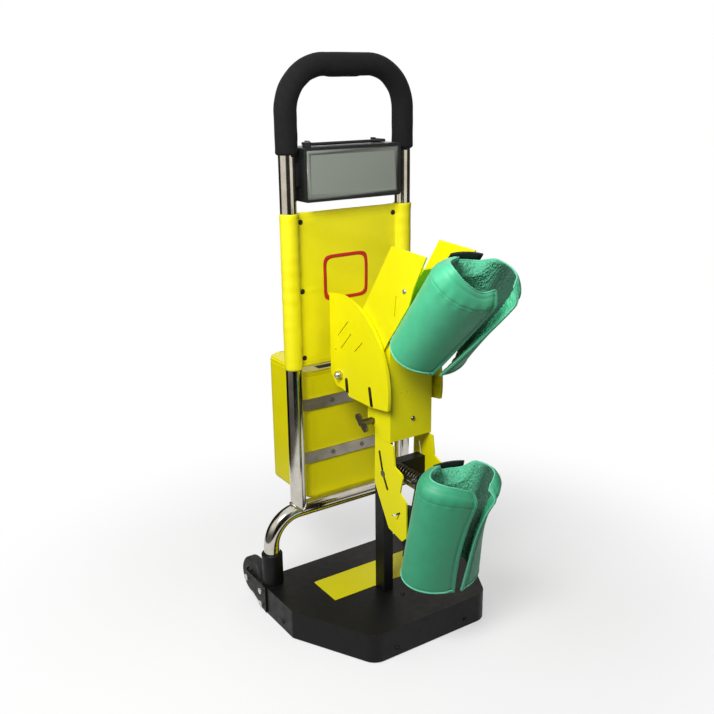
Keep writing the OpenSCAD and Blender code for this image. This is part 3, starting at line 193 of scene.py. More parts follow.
def wire(path, out, radius, count, trued=False, closed=False):
    """A round wire: a circle carried along a path, shut to a point at both ends unless the path is closed.

    The circle lies in the outward direction and in the one square to it and to the path. Trued first turns
    the outward direction square to the path.
    """
    step = np.roll(path, -1, 0) - np.roll(path, 1, 0) if closed else np.gradient(path, axis=0)
    tangent = unit(step)
    side = unit(np.cross(tangent, out))
    if trued:
        out = np.cross(side, tangent)
    a = round_angles(count)[:, None]
    circle = np.cos(a) * out[:, None] + np.sin(a) * side[:, None]
    rows = path[:, None] + np.reshape(radius, (-1, 1, 1)) * circle
    if closed:
        return rows
    ends = np.broadcast_to(path[[0, -1], None], (2, count, 3))
    return np.concatenate([ends[:1], rows, ends[1:]])


def waves(u, v, seed, terms, low, high):
    """A smooth uneven field between about -1 and 1: a sum of sine waves with seeded directions and phases."""
    chance = np.random.default_rng(seed)
    turn, phase = chance.uniform(0, TAU, (2, terms))
    pace = chance.uniform(low, high, terms)
    total = 0
    for p, t, f in zip(pace, turn, phase):
        total = total + np.sin(TAU * p * (u * math.cos(t) + v * math.sin(t)) + f)
    return total / math.sqrt(terms)


def round_piece(name, rows, body, finish, slot, **how):
    """A piece skinned over rows of points that each close on themselves, facing outwards."""
    faces = grid_faces(*rows.shape[:2], wrap_cols=True)
    return make_piece(name, rows, faces, body, finish, slot, outwards=True, **how)


def thicken(piece, thickness):
    """Gives a thin skin its thickness, half of it to each side."""
    skin = piece.modifiers.new("thickness", "SOLIDIFY")
    skin.thickness = thickness
    skin.offset = 0


def beads(places, along, outwards, length, radius, name, body, finish, slot):
    """Small stitches: one long low bead at each place, lying along the seam and half sunk in the cloth.

    Each bead is an ellipsoid of six sides and five rings, stretched along the seam's own direction.
    """
    a, b = grid(np.linspace(0, math.pi, 5), round_angles(6))
    shape = np.stack([np.cos(a), np.sin(a) * np.cos(b), np.sin(a) * np.sin(b)], -1).reshape(-1, 3)
    shape = shape * [length / 2, radius, radius]
    along = unit(along)
    across = unit(np.cross(outwards, along))
    axes = np.stack([along, across, np.cross(along, across)], 1)
    points = places[:, None] + shape @ axes
    faces = grid_faces(5, 6, wrap_cols=True)
    faces = (faces[None] + (np.arange(len(places)) * len(shape))[:, None, None]).reshape(-1, 4)
    make_piece(name, points, faces, body, finish, slot, merge=1e-6, outwards=True)


def softened(node, finish, edge):
    """A copy of a solid that stands for it, with its sharp edges broken by a small round."""
    source = frame["nodes"][node]
    mesh = source.data.copy()
    mesh.name = node + "_soft"
    shell = bmesh.new()
    shell.from_mesh(mesh)
    bmesh.ops.remove_doubles(shell, verts=shell.verts, dist=2e-6)
    bmesh.ops.dissolve_limit(
        shell, angle_limit=math.radians(0.4), verts=shell.verts, edges=shell.edges, delimit={"NORMAL"})
    shell.to_mesh(mesh)
    shell.free()
    mesh.materials.clear()
    mesh.materials.append(finish)
    mesh.polygons.foreach_set("material_index", np.zeros(len(mesh.polygons), np.int32))
    mesh.polygons.foreach_set("use_smooth", np.ones(len(mesh.polygons), bool))
    mesh.update()
    piece = link(node + "_soft", mesh)
    rounding = piece.modifiers.new("edge", "BEVEL")
    rounding.width = edge
    rounding.segments = 2
    rounding.limit_method = "ANGLE"
    rounding.angle_limit = math.radians(32)
    flatness = piece.modifiers.new("flat faces", "WEIGHTED_NORMAL")
    flatness.keep_sharp = True
    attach(piece, source["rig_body"])
    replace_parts(piece, node)


# Finishes

def colour(text):
    """An sRGB hex colour as linear red, green, blue and alpha."""
    parts = [int(text[k:k + 2], 16) / 255 for k in (1, 3, 5)]
    return tuple(c / 12.92 if c <= 0.04045 else ((c + 0.055) / 1.055) ** 2.4 for c in parts) + (1.0,)


def add(tree, kind, inputs, **settings):
    """A shader node with its settings. Each input is a value, a hex colour, a node or a socket."""
    made = tree.nodes.new("ShaderNode" + kind)
    for key, value in settings.items():
        setattr(made, key, value)
    for key, value in inputs.items():
        value = value.outputs[0] if isinstance(value, bpy.types.Node) else value
        if isinstance(value, bpy.types.NodeSocket):
            tree.links.new(value, made.inputs[key])
        else:
            made.inputs[key].default_value = colour(value) if isinstance(value, str) else value
    return made


def clear_tree(owner):
    """The emptied node tree of a material or a world."""
    owner.use_nodes = True
    owner.node_tree.nodes.clear()
    return owner.node_tree


def start_finish(name, shader_inputs):
    """A new finish with its shader on the output, and the tree, the shader and the object's coordinates."""
    finish = bpy.data.materials.new(name)
    tree = clear_tree(finish)
    shader = add(tree, "BsdfPrincipled", shader_inputs)
    add(tree, "OutputMaterial", {"Surface": shader})
    return finish, tree, shader, add(tree, "TexCoord", {}).outputs


def dress(tree, shader, tone, gloss, ends, rough, height, strength, depth_mm):
    """Links a colour, a gloss pattern and a relief to the shader.

    Between the pattern's two ends the roughness goes from the first value of rough to the second.
    """
    roughness = add(tree, "MapRange", {0: gloss, 1: ends[0], 2: ends[1], 3: rough[0], 4: rough[1]})
    bump = add(tree, "Bump", {"Height": height, "Strength": strength, "Distance": depth_mm * MM})
    tree.links.new(tone, shader.inputs["Base Color"])
    tree.links.new(roughness.outputs[0], shader.inputs["Roughness"])
    tree.links.new(bump.outputs[0], shader.inputs["Normal"])


def coated(name, light, dark, rough, grain_mm, bump_mm, patch_mm=60, spread=0.08, shine=0.5, metal=0.0):
    """A finish with soft patches between two near colours, uneven gloss and a fine raised grain.

    The patches are broad noise, the gloss follows a noise four times as fine and the grain is bump.
    """
    finish, tree, shader, place = start_finish(name, {"Specular IOR Level": shine, "Metallic": metal})
    patch = add(tree, "TexNoise", {
        "Vector": place["Object"], "Scale": 1000 / patch_mm, "Detail": 3.0, "Roughness": 0.6})
    tone = add(tree, "Mix", {0: patch, 6: dark, 7: light}, data_type="RGBA")
    gloss = add(tree, "TexNoise", {"Vector": place["Object"], "Scale": 4000 / patch_mm, "Detail": 4.0})
    grain = add(tree, "TexNoise", {"Vector": place["Object"], "Scale": 1000 / grain_mm, "Detail": 2.0})
    dress(tree, shader, tone.outputs[2], gloss, (0.3, 0.7),
          (max(rough - spread, 0.03), rough + spread), grain, 0.6, bump_mm)
    return finish


def brushed(name, light, dark, rough, coordinates):
    """Metal with fine lines along x: noise squeezed across the lines sets gloss, tone and bump.

    The lines are half a millimetre wide and fifty times as long, and clouds of 45 mm make them uneven.
    """
    finish, tree, shader, place = start_finish(name, {"Metallic": 1.0})
    turned = add(tree, "Mapping", {"Vector": place[coordinates], "Scale": (0.02, 1.0, 1.0)})
    lines = add(tree, "TexNoise", {"Vector": turned, "Scale": 1000 / 0.5, "Detail": 3.0, "Roughness": 0.65})
    cloud = add(tree, "TexNoise", {"Vector": place["Object"], "Scale": 22.0, "Detail": 4.0})
    both = add(tree, "Math", {0: lines, 1: cloud}, operation="MULTIPLY")
    share = add(tree, "MapRange", {0: both, 1: 0.12, 2: 0.4, 3: 0.0, 4: 1.0})
    tone = add(tree, "Mix", {0: share, 6: dark, 7: light}, data_type="RGBA")
    dress(tree, shader, tone.outputs[2], lines, (0.25, 0.75), (rough * 0.7, rough * 1.35),
          lines, 0.25, 0.02)
    return finish


def cloth(name, light, dark, rough, thread_mm, bump_mm, sheen, tint, patch_mm, painted_slit_shade=None):
    """Woven or knitted cloth: two crossed waves make the threads, and broad noise the worn patches.

    The threads are drawn along the piece's own UV map, whose units are metres along the cloth. The optional
    last
    argument paints shade: a colour and two distances to the right of the cloth's middle, between which that
    painted shade sets in.
    """
    finish, tree, shader, place = start_finish(name, {
        "Sheen Weight": sheen, "Sheen Roughness": 0.4, "Sheen Tint": tint})
    pace = 1000 / thread_mm / TAU * 2
    warp, weft = [
        add(tree, "TexWave", {
            "Vector": place["UV"], "Scale": pace, "Distortion": 0.6, "Detail": 1.0}, bands_direction=way)
        for way in "XY"]
    threads = add(tree, "Math", {0: warp.outputs[1], 1: weft.outputs[1]}, operation="MAXIMUM")
    patch = add(tree, "TexNoise", {
        "Vector": place["Object"], "Scale": 1000 / patch_mm, "Detail": 4.0, "Roughness": 0.6})
    blend = add(tree, "Math", {0: threads, 1: 0.25, 2: patch}, operation="MULTIPLY_ADD")
    share = add(tree, "MapRange", {0: blend, 1: 0.3, 2: 0.95, 3: 0.0, 4: 1.0})
    tone = add(tree, "Mix", {0: share, 6: dark, 7: light}, data_type="RGBA")
    # Painted shade: the cloth darkens towards the slit's far side, where its inside lies in shadow
    if painted_slit_shade:
        parts = add(tree, "SeparateXYZ", {0: place["UV"]})
        near = add(tree, "MapRange", {
            0: parts.outputs["X"], 1: painted_slit_shade[1], 2: painted_slit_shade[2], 3: 0.0, 4: 0.92}, interpolation_type="SMOOTHSTEP")
        tone = add(tree, "Mix", {0: near, 6: tone.outputs[2], 7: painted_slit_shade[0]}, data_type="RGBA")
    dress(tree, shader, tone.outputs[2], patch, (0.3, 0.7), (rough - 0.07, rough + 0.07),
          threads, 0.7, bump_mm)
    return finish


# Powder coat, sprayed dry and baked: full yellow with a faint orange peel and a soft gloss
yellow_coat = coated("powder_coat_yellow", "#f8f004", "#efe602", 0.42, 1.6, 0.05, shine=0.3)
# Polypropylene, moulded: a little softer and duller than the coat, with a spark-eroded grain
yellow_mould = coated("polypropylene_yellow", "#f4ea02", "#eadf00", 0.46, 0.9, 0.05, patch_mm=90, shine=0.3)
# Printed film: flat and even, with a slight gloss
yellow_film = coated("polyester_film_yellow", "#d8d002", "#d0c802", 0.45, 3.0, 0.01, patch_mm=200,
                     shine=0.12)
# Screen ink on coated cloth: dense red, dull
red_ink = coated("screen_ink_red", "#c8201a", "#b81a15", 0.5, 0.8, 0.03, patch_mm=15)
# Powder coat in black: fine texture that breaks the shine
black_coat = coated("powder_coat_black", "#131314", "#0e0e0f", 0.44, 0.8, 0.07, shine=0.18)
# ABS, moulded and grained: black with a soft, broken shine
black_mould = coated("abs_black", "#171718", "#111112", 0.48, 0.6, 0.05, shine=0.3)
# Acrylic panel, sprayed grey on the back: even and smooth
grey_panel = coated("acrylic_grey", "#8d938b", "#888e86", 0.4, 4.0, 0.01, patch_mm=160, spread=0.02)
# The panel's rim, where the paint on the back is thinner and the black behind it shows
rim_panel = coated("acrylic_rim", "#7b817b", "#757b75", 0.35, 4.0, 0.01, patch_mm=160, spread=0.02)
# Foam rubber with an open skin: dull, with small cells
grip_foam = coated("nitrile_foam", "#171718", "#111112", 0.88, 1.1, 0.25, patch_mm=40, spread=0.05,
                   shine=0.2)
# Needled felt, dark olive and without shine: painted shade, pressed into the open slots so that they look as
# dark as shaded hollows
slot_shade_felt = coated("felt_olive_painted_shade", "#38320f", "#2a260b", 0.95, 1.0, 0.2, patch_mm=10, shine=0.1)
# Vulcanised rubber: nearly black and dull
tyre_rubber = coated("tyre_rubber", "#1c1c1e", "#151516", 0.7, 1.5, 0.08)
# Zinc plating, passivated: bright grey, slightly warm
zinc = coated("zinc_plate", "#cfcfca", "#b3b2aa", 0.3, 0.7, 0.02, patch_mm=8, metal=1.0)
# Plain steel fasteners, dull and a little brown from handling
dark_zinc = coated("tarnished_steel", "#8a8478", "#5e584c", 0.36, 0.7, 0.03, patch_mm=5, metal=1.0)
# Spring wire with black oxide: dark with a low metal shine
spring_wire = coated("black_oxide_wire", "#6b675e", "#3b3935", 0.3, 0.5, 0.02, patch_mm=6, metal=1.0)
# Hot-rolled steel of the ballast, with its dark blue scale
plate_steel = coated("mill_scale_steel", "#5d6063", "#4a4d50", 0.5, 1.2, 0.06, metal=0.8)
# Stainless tube, polished along its length
tube_steel = brushed("stainless_tube", "#d9d5cc", "#b4afa4", 0.13, "UV")
# Stainless flat, brushed along its length
bar_steel = brushed("stainless_flat", "#bdb6a8", "#8f887b", 0.34, "Object")
# Coated polyester: tight plain weave under a soft film, drawn at 1.4 mm so that it shows
banner_cloth = cloth("coated_polyester_yellow", "#f8ef04", "#efe502", 0.5, 1.4, 0.06, 0.15, "#fff9b0", 70)
# Laminated knit on the upper sleeve's outside: fine ribs with a soft sheen
upper_knit = cloth("laminated_knit_green", "#55cb98", "#45b988", 0.5, 1.2, 0.05, 0.3, "#b8f4da", 30)
# The same knit on the lower sleeve, darker: painted shade, because the lower sleeve gets less light than the
# upper one
shaded_lower_knit = cloth("laminated_knit_painted_shade", "#3fae81", "#339a70", 0.5, 1.2, 0.05, 0.25, "#b8f4da", 30)
# Terry towelling inside: raised loops that catch the light, darkened beside the slit with painted shade for
# the shadow inside the slit
terry = cloth("terry_towel_green", "#6fd6ac", "#3f9f78", 0.85, 2.2, 0.5, 0.3, "#c8f7e2", 4,
              painted_slit_shade=("#1c4433", 0.075, 0.125))
# Woven tape folded over the sleeves' edges, paler than the knit
welt_tape = coated("woven_tape_green", "#76d6b0", "#5fc59b", 0.6, 0.5, 0.12, patch_mm=6)
# Spun thread: a shade darker than its cloth, so that the rows show
thread = coated("polyester_thread_green", "#3fae83", "#339471", 0.6, 0.3, 0.05, patch_mm=3)
yellow_thread = coated("polyester_thread_yellow", "#dfd514", "#cfc410", 0.6, 0.3, 0.05, patch_mm=3)


# Sleeves

class Sleeve:
    """A thick padded cloth sleeve, open along its front.

    Its skins are ovals about the handrail's axis, as functions of p across the cloth and q along it, both
    from -1 to 1. The outer oval is drawn in at the top, as a collar, and the rim stands higher on the left
    and dips at the slit and before the shell. The wall thins to the lips, the right lip flares with the
    square of the way past 50 degrees, and each edge is closed on a small round.
    """

    half_w = 84 * MM
    half_d = 55 * MM
    wall = 24 * MM
    lip_wall = 5 * MM
    slit_low = 13 * MM
    slit_top = 24 * MM
    flare = 0.34
    collar = 28 * MM
    collar_in = 17 * MM
    front_drop = 10 * MM
    corner_dip = 14 * MM
    corner_round = 10 * MM
    round_from = math.radians(18)
    back_dip = 30 * MM
    lip_from = math.radians(110)
    flare_from = math.radians(50)
    girth = 66 * MM
    binding = 7 * MM
    hem = 6 * MM

    def __init__(self, pivot, lean, axis, start, length, shifts, rise, waist, bow, roll, seed):
        self.pivot, self.lean, self.axis = pivot, math.radians(lean), axis
        self.start, self.length, self.seed = start, length, seed
        self.shifts, self.rise, self.waist, self.bow, self.roll = shifts, rise, waist, bow, roll

    def reach(self, p, t):
        """The angle from the back to a lip: both lie further right towards the top, and the left one bows."""
        slit = self.slit_low + (self.slit_top - self.slit_low) * t
        slit = slit + np.where(p > 0, 0, 2 * self.bow) * np.sin(math.pi * np.clip(t, 0, 1))
        shift = np.where(p > 0, 2, -2) * (self.shifts[0] + (self.shifts[1] - self.shifts[0]) * t)
        return math.pi - np.arcsin((slit + shift) / (2 * self.half_w))

    def gaps(self, p, t):
        """Distances along the cloth to the nearer lip, to the top and to the lower end."""
        return (1 - np.abs(p)) * self.reach(p, t) * self.girth, (1 - t) * self.length, t * self.length

    def back(self, angle):
        """A share that is 1 before the shell and falls off to both sides."""
        return hump(np.degrees(angle), 16, 27, 4)

    def rim(self, angle, reach):
        """How far the rim stands above its level: higher on the left, lower and rounded at the slit."""
        turn = np.degrees(angle)
        left = self.rise * hump(turn, -95, 45)
        corner = self.corner_dip * hump(np.abs(turn), 180, 28)
        rounded = self.corner_round * np.clip(1 - (reach - np.abs(angle)) / self.round_from, 0, None) ** 2
        return left - corner - rounded - self.back_dip * self.back(angle)

    def insets(self, p, t):
        """How far the outer and the inner skin lie inside the sleeve's full oval."""
        reach = self.reach(p, t)
        angle = p * reach
        lip = np.clip((np.abs(angle) - self.lip_from) / (reach - self.lip_from), 0, 1)
        across, above, below = self.gaps(p, t)
        high = np.clip(1 - above / self.collar, 0, 1)
        back = self.back(angle)
        drawn = self.collar_in * high ** self.roll * (1 - back)
        thin = np.maximum(lip ** 2, back * high)
        inner = np.maximum(self.wall - (self.wall - self.lip_wall) * thin, drawn + self.lip_wall)
        arc = angle * self.girth
        away = np.clip(np.abs(angle) / 1.2 - 0.6, 0, 1)
        fold = 1.4 * MM * (0.5 + 0.5 * waves(arc, t * self.length * 0.3, self.seed, 6, 5, 14)) * away
        tuck = 0.9 * MM * (0.5 + 0.5 * np.sin(TAU * arc / 0.021 + 4 * t)) * hump(above, self.collar, 0.012)
        seam = 1.2 * MM * hump(above, self.collar, 0.0016)
        seam = seam + 1.7 * MM * hump(across, self.binding, 0.002)
        seam = seam + 0.9 * MM * hump(above, self.binding, 0.0015)
        seam = seam + 1.1 * MM * hump(below, self.hem + 3 * MM, 0.0018)
        return drawn + (fold + tuck * away + seam) * np.clip(across / 0.004, 0, 1), inner

    def skin(self, p, q, side):
        """A point of the outer skin for side 1, of the inner skin for side -1 and of the middle for 0."""
        t = (q + 1) / 2
        reach = self.reach(p, t)
        angle = p * reach
        outer, inner = self.insets(p, t)
        across, above, below = self.gaps(p, t)
        half = (inner - outer) / 2
        shut = 1.0
        for gap, pad in ((across, 0.5), (above, 0.9), (below, 0.8)):
            near = np.clip(gap / np.maximum(half * pad, 1e-6), 0, 1)
            shut = shut * np.sqrt(1 - (1 - near) ** 2)
        inset = (outer + inner) / 2 - side * half * shut
        past = np.clip((angle - self.flare_from) / (self.reach(1.0, t) - self.flare_from), 0, None)
        grow = 1 + past ** 2 * self.flare * (0.2 + 0.8 * t)
        waist = self.waist * np.sin(math.pi * np.clip(t, 0, 1) ** 1.3)
        grow = grow - waist * np.sin(np.clip(angle, 0, math.pi / 2))
        x = (self.half_w - inset) * np.sin(angle) * grow
        n = self.axis + (self.half_d - inset) * np.cos(angle) * grow
        drop = self.front_drop * (1 - t) ** 2 * (1 - np.cos(angle)) / 2
        u = self.start + self.length * t - drop + self.rim(angle, reach) * np.clip(t, 0, None) ** 3
        u = u + 1.5 * MM * np.sin(2 * angle + self.seed) * t
        y = self.pivot[0] + n * math.cos(self.lean) - u * math.sin(self.lean)
        z = self.pivot[1] + n * math.sin(self.lean) + u * math.cos(self.lean)
        return np.stack([x, y, z], -1)

    def outwards(self, p, q, side):
        """The direction square to a skin, away from the handrail, by small steps across and along it."""
        h = 2e-3
        across = self.skin(p + h, q, side) - self.skin(p - h, q, side)
        along = self.skin(p, q + h, side) - self.skin(p, q - h, side)
        square = np.cross(along, across)
        return square / np.maximum(np.linalg.norm(square, axis=-1, keepdims=True), 1e-12)


def edged_steps(few, many, low, high):
    """Steps from -1 to 1 that crowd together on a quarter-round at both ends."""
    crowd = 1 - np.cos(np.linspace(0, math.pi / 2, few, endpoint=False))
    return np.concatenate([-1 + low * crowd, np.linspace(-1 + low, 1 - high, many), (1 - high * crowd)[::-1]])


def make_sleeve(name, sleeve, body, node, knit):
    """The sleeve's two skins joined at their edges, with towel loops raised on the inner one."""
    grid_p, grid_q = grid(edged_steps(7, 280, 0.03, 0.03), edged_steps(8, 112, 0.1, 0.06))
    outer = sleeve.skin(grid_p, grid_q, 1)
    inner = sleeve.skin(grid_p, grid_q, -1)
    loops = np.random.default_rng(sleeve.seed).normal(0, 1, grid_p.shape)
    loops = 0.4 * loops + 0.3 * np.roll(loops, 1, 0) + 0.2 * np.roll(loops, 1, 1) + 0.2 * np.roll(loops, 2, 0)
    across, above, below = sleeve.gaps(grid_p, (grid_q + 1) / 2)
    fade = np.clip(np.minimum(np.minimum(across, above), below) / (4 * MM), 0, 1)
    away = sleeve.outwards(np.clip(grid_p, -0.995, 0.995), np.clip(grid_q, -0.99, 0.99), -1)
    inner = inner + (1.3 * MM * loops * fade)[..., None] * away
    faces = grid_faces(*grid_p.shape)
    points = np.concatenate([outer.reshape(-1, 3), inner.reshape(-1, 3)])
    both = np.concatenate([faces, faces[:, ::-1] + grid_p.size])
    flat = np.stack([grid_p * math.pi * sleeve.girth, grid_q * sleeve.length / 2], -1).reshape(-1, 2)
    towel = (across > 12 * MM)[:-1, :-1].ravel()
    piece = make_piece(
        name, points, both, body, [knit, terry], "green_cloth",
        np.concatenate([np.zeros(len(faces)), towel]),
        uv=np.concatenate([flat, flat]), merge=2e-6, outwards=True)
    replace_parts(piece, node)


def sleeve_stitches(name, sleeve, body):
    """Rows of stitches: one below the collar, one down each lip and one round the lower end."""
    p = np.linspace(-0.96, 0.96, 120)
    q = np.linspace(-0.93, 0.95, 50)
    rows = [(p, 1 - 2 * (sleeve.collar + 2.6 * MM) / sleeve.length, 1),
            (p, -1 + 2 * (sleeve.hem + 2.2 * MM) / sleeve.length, 1)]
    for side in (-1, 1):
        lip = (sleeve.binding + 2 * MM) / (sleeve.reach(side, (q + 1) / 2) * sleeve.girth)
        rows.append((side * (1 - lip), q, 0))
    p, q, level = join(rows)
    step_p, step_q = 3e-3 * level, 3e-3 * (1 - level)
    along = sleeve.skin(p + step_p, q + step_q, 1) - sleeve.skin(p - step_p, q - step_q, 1)
    out = sleeve.outwards(p, q, 1)
    beads(sleeve.skin(p, q, 1), along, out, 3.0 * MM, 0.55 * MM, name, body, thread, "green_cloth")


def sleeve_piping(name, sleeve, body):
    """Two thin round welts, each a wire: one down the lips and round the rim, one near the lower end.

    The first follows the middle of the cloth and the second its outer skin.
    """
    side = np.linspace(-0.985, 1, 90)
    top = np.linspace(-1, 1, 200)[1:-1]
    edge_p = np.concatenate([np.full(90, -1.0), top, np.full(90, 1.0)])
    edge_q = np.concatenate([side, np.full(198, 1.0), side[::-1]])
    low_p = np.linspace(-0.985, 0.985, 200)
    low_q = np.full(200, -1 + 2 * sleeve.hem / sleeve.length)
    points, faces, used = [], [], 0
    for p, q, skin in ((edge_p, edge_q, 0), (low_p, low_q, 1)):
        out = sleeve.outwards(np.clip(p, -0.97, 0.97), np.clip(q, -0.97, 0.97), 1)
        welt = wire(sleeve.skin(p, q, skin), out, 1.5 * MM, 10, trued=True)
        points.append(welt.reshape(-1, 3))
        faces.append(grid_faces(*welt.shape[:2], wrap_cols=True) + used)
        used += len(points[-1])
    points, faces = np.concatenate(points), np.concatenate(faces)
    make_piece(name, points, faces, body, welt_tape, "green_cloth", merge=1e-7, outwards=True)


upper = Sleeve((0.065, 0.503), 38, -0.1013, 0.196, 0.200, (-0.016, 0.044), 0.020, 0, 0, 1.5, 3)
lower = Sleeve((-0.098, 0.238), 13.5, -0.0893, -0.050, 0.222, (0, 0.020), 0.005, 0.2, 0.012, 2.6, 8)
make_sleeve("upper_sleeve_cloth", upper, "upper_arm", "upper_sleeve", upper_knit)
# The lower sleeve takes the darker copy of the knit, as painted shade
make_sleeve("lower_sleeve_cloth", lower, "lower_pad", "lower_sleeve", shaded_lower_knit)
for make, part in ((sleeve_stitches, "stitches"), (sleeve_piping, "piping")):
    make("upper_sleeve_" + part, upper, "upper_arm")
    make("lower_sleeve_" + part, lower, "lower_pad")


# Tubes and grip

TUBE_R = 16 * MM
TUBE_Y = 128 * MM
TUBE_SIDES = 48
UPRIGHT_X = 131 * MM
HOOP_TOP = 1079 * MM
HOOP_BEND = 83 * MM
STIRRUP_X = 197 * MM
STIRRUP_LOW = 67 * MM
STIRRUP_BEND = 64 * MM
RUN_Z = 207 * MM


def bent_tube(name, node, path, d, coped):
    """A bent tube: a circle carried along an arch. A coped one has its lowest circles shaped over the run."""
    tube = along_path(path, (0, 1, 0), ring(TUBE_R, TUBE_SIDES))
    if coped:
        off = tube[[0, -1], :, 1] - TUBE_Y
        tube[[0, -1], :, 2] = RUN_Z + np.sqrt(np.clip(TUBE_R ** 2 - off ** 2, 0, None)) + 0.1 * MM
    uv = np.stack(grid(d, TUBE_R * round_angles(TUBE_SIDES)), -1)
    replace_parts(round_piece(name, tube, "frame", tube_steel, "stainless", uv=uv), node)


def make_welds():
    """Weld beads where the uprights meet the run: a rippled wire along the saddle curve."""
    a = round_angles(120)
    out = np.stack([np.cos(a), np.sin(a), np.zeros_like(a)], 1)
    x, y = (TUBE_R + 0.4 * MM) * out[:, 0], (TUBE_R + 0.4 * MM) * out[:, 1]
    z = RUN_Z + np.sqrt(np.clip((TUBE_R + 0.6 * MM) ** 2 - y ** 2, 0, None)) + 0.8 * MM
    radius = (2.3 + 0.35 * np.sin(a * 46)) * MM
    faces = grid_faces(120, 10, True, True)
    for side, name in ((-1, "weld_left"), (1, "weld_right")):
        bead = wire(np.stack([side * UPRIGHT_X + x, TUBE_Y + y, z], 1), out, radius, 10, closed=True)
        make_piece(name, bead, faces, "frame", bar_steel, "stainless", outwards=True)


GRIP_LOW = 921 * MM
FOAM_IN = 16.1 * MM
FOAM_T = 4.9 * MM


def make_grip():
    """The foam grip: a thick ring carried along the hoop's top, rounded at its ends and a little uneven."""
    path, d = arch_path(UPRIGHT_X, GRIP_LOW, HOOP_TOP, HOOP_BEND, TUBE_Y, 3 * MM)
    grid_d, grid_a = grid(d, round_angles(72))
    end = np.minimum(grid_d, d[-1] - grid_d)
    outer = FOAM_IN + FOAM_T * (0.35 + 0.65 * np.sqrt(1 - (1 - np.clip(end / (4 * MM), 0, 1)) ** 2))
    outer = outer + 0.22 * MM * waves(grid_d, grid_a * 0.02, 5, 9, 8, 40)
    high = path[:, 2] > 1.0
    bend = (hump(path[:, 0] ** 2, 0.092 ** 2, 0.004) * high)[:, None]
    inside = np.clip(-np.sin(grid_a), 0, 1)
    outer = outer - 0.5 * MM * bend * inside * (0.5 + 0.5 * np.sin(grid_d / 0.006))
    middle = high / (1 + np.exp((np.abs(path[:, 0] + 0.006) - 0.034) / 0.002))
    outer = outer + 1.8 * MM * middle[:, None] * inside
    profile = np.stack([outer * np.cos(grid_a), outer * np.sin(grid_a)], -1)
    foam = along_path(path, (0, 1, 0), profile)
    lining = along_path(path[[0, -1]], (0, 1, 0), ring(FOAM_IN, 72))
    foam = np.concatenate([lining[:1], foam, lining[1:]])
    piece = round_piece("grip", foam, "frame", grip_foam, "foam")
    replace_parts(piece, "foam_grip")


hoop = arch_path(UPRIGHT_X, RUN_Z + 20 * MM, HOOP_TOP, HOOP_BEND, TUBE_Y, 8 * MM)
bent_tube("hoop_tube", "upright_hoop", *hoop, coped=True)
stirrup = arch_path(STIRRUP_X, STIRRUP_LOW, RUN_Z, STIRRUP_BEND, TUBE_Y, 6 * MM)
bent_tube("stirrup", "stirrup_tube", *stirrup, coped=False)
make_welds()
make_grip()


# Banner

BANNER_LOW = 511 * MM
BANNER_HIGH = 814 * MM
BANNER_HALF = 111 * MM
BANNER_Y = TUBE_Y - 0.9 * MM
LOOP_R = 17 * MM
SNAP_ROWS = (0.529, 0.6625, 0.796)


def banner_line(count):
    """The banner's plan, seen from above, by distance along the cloth.

    It starts behind the panel at the left snaps, goes round the left upright, across the front and round the
    right upright to the back of the right snaps. Each bend is an arc.
    """
    turn = np.linspace(math.radians(6), math.radians(354), 90)
    left = np.stack([-UPRIGHT_X + LOOP_R * np.cos(turn), TUBE_Y + LOOP_R * np.sin(turn)], 1)
    flap = np.stack([np.linspace(-92 * MM, -112 * MM, 16), np.full(16, TUBE_Y + 1.1 * MM)], 1)
    panel = np.stack([np.linspace(-BANNER_HALF, BANNER_HALF, 140), np.full(140, BANNER_Y)], 1)
    half = np.concatenate([flap, left])
    return evenly(np.concatenate([half, panel, (half * [-1, 1])[::-1]]), count)


def banner_loose(x):
    """A share that is 1 on the open panel and falls to 0 at the uprights over 30 mm."""
    return np.clip((0.112 - np.abs(x)) / 0.03, 0, 1)


def banner_bulge(x, z, loose):
    """How far the cloth stands forward: slack, creases, pulls beside the left snaps and two hems."""
    t = (z - BANNER_LOW) / (BANNER_HIGH - BANNER_LOW)
    slack = 2.2 * np.sin(math.pi * t) * np.cos(x / BANNER_HALF * math.pi / 2) - 0.6
    crease = 0.75 * waves(x, z * 2.2, 11, 8, 3, 11)
    slope = 0.024 * (x + 0.108)
    pull = sum(0.9 * hump(z, row + slope, 0.006) * hump(x, -0.1, 0.03) for row in SNAP_ROWS)
    hem = 0.5 * (hump(t, 0.02, 0.025, 4) + hump(t, 0.98, 0.025, 4))
    return (loose * (slack + crease + pull) + hem) * MM


def banner_points(line, z):
    """Points of the banner: its plan carried up, moved square to the plan by creases and slack."""
    tangent = unit(np.gradient(line, axis=0))
    away = np.stack([tangent[:, 1], -tangent[:, 0]], 1)[:, None]
    grid_x, grid_z = grid(line[:, 0], z)
    loose = banner_loose(grid_x)
    front = (line[:, 1] < TUBE_Y)[:, None]
    move = np.where(front, banner_bulge(grid_x, grid_z, loose), 0.2 * MM)
    rings = 0.35 * MM * waves(grid_x * 0.6, grid_z, 21, 6, 10, 40) * (1 - loose)
    move = move + np.clip(rings, -0.1 * MM, None)
    return np.concatenate([line[:, None] + move[..., None] * away, grid_z[..., None]], -1)


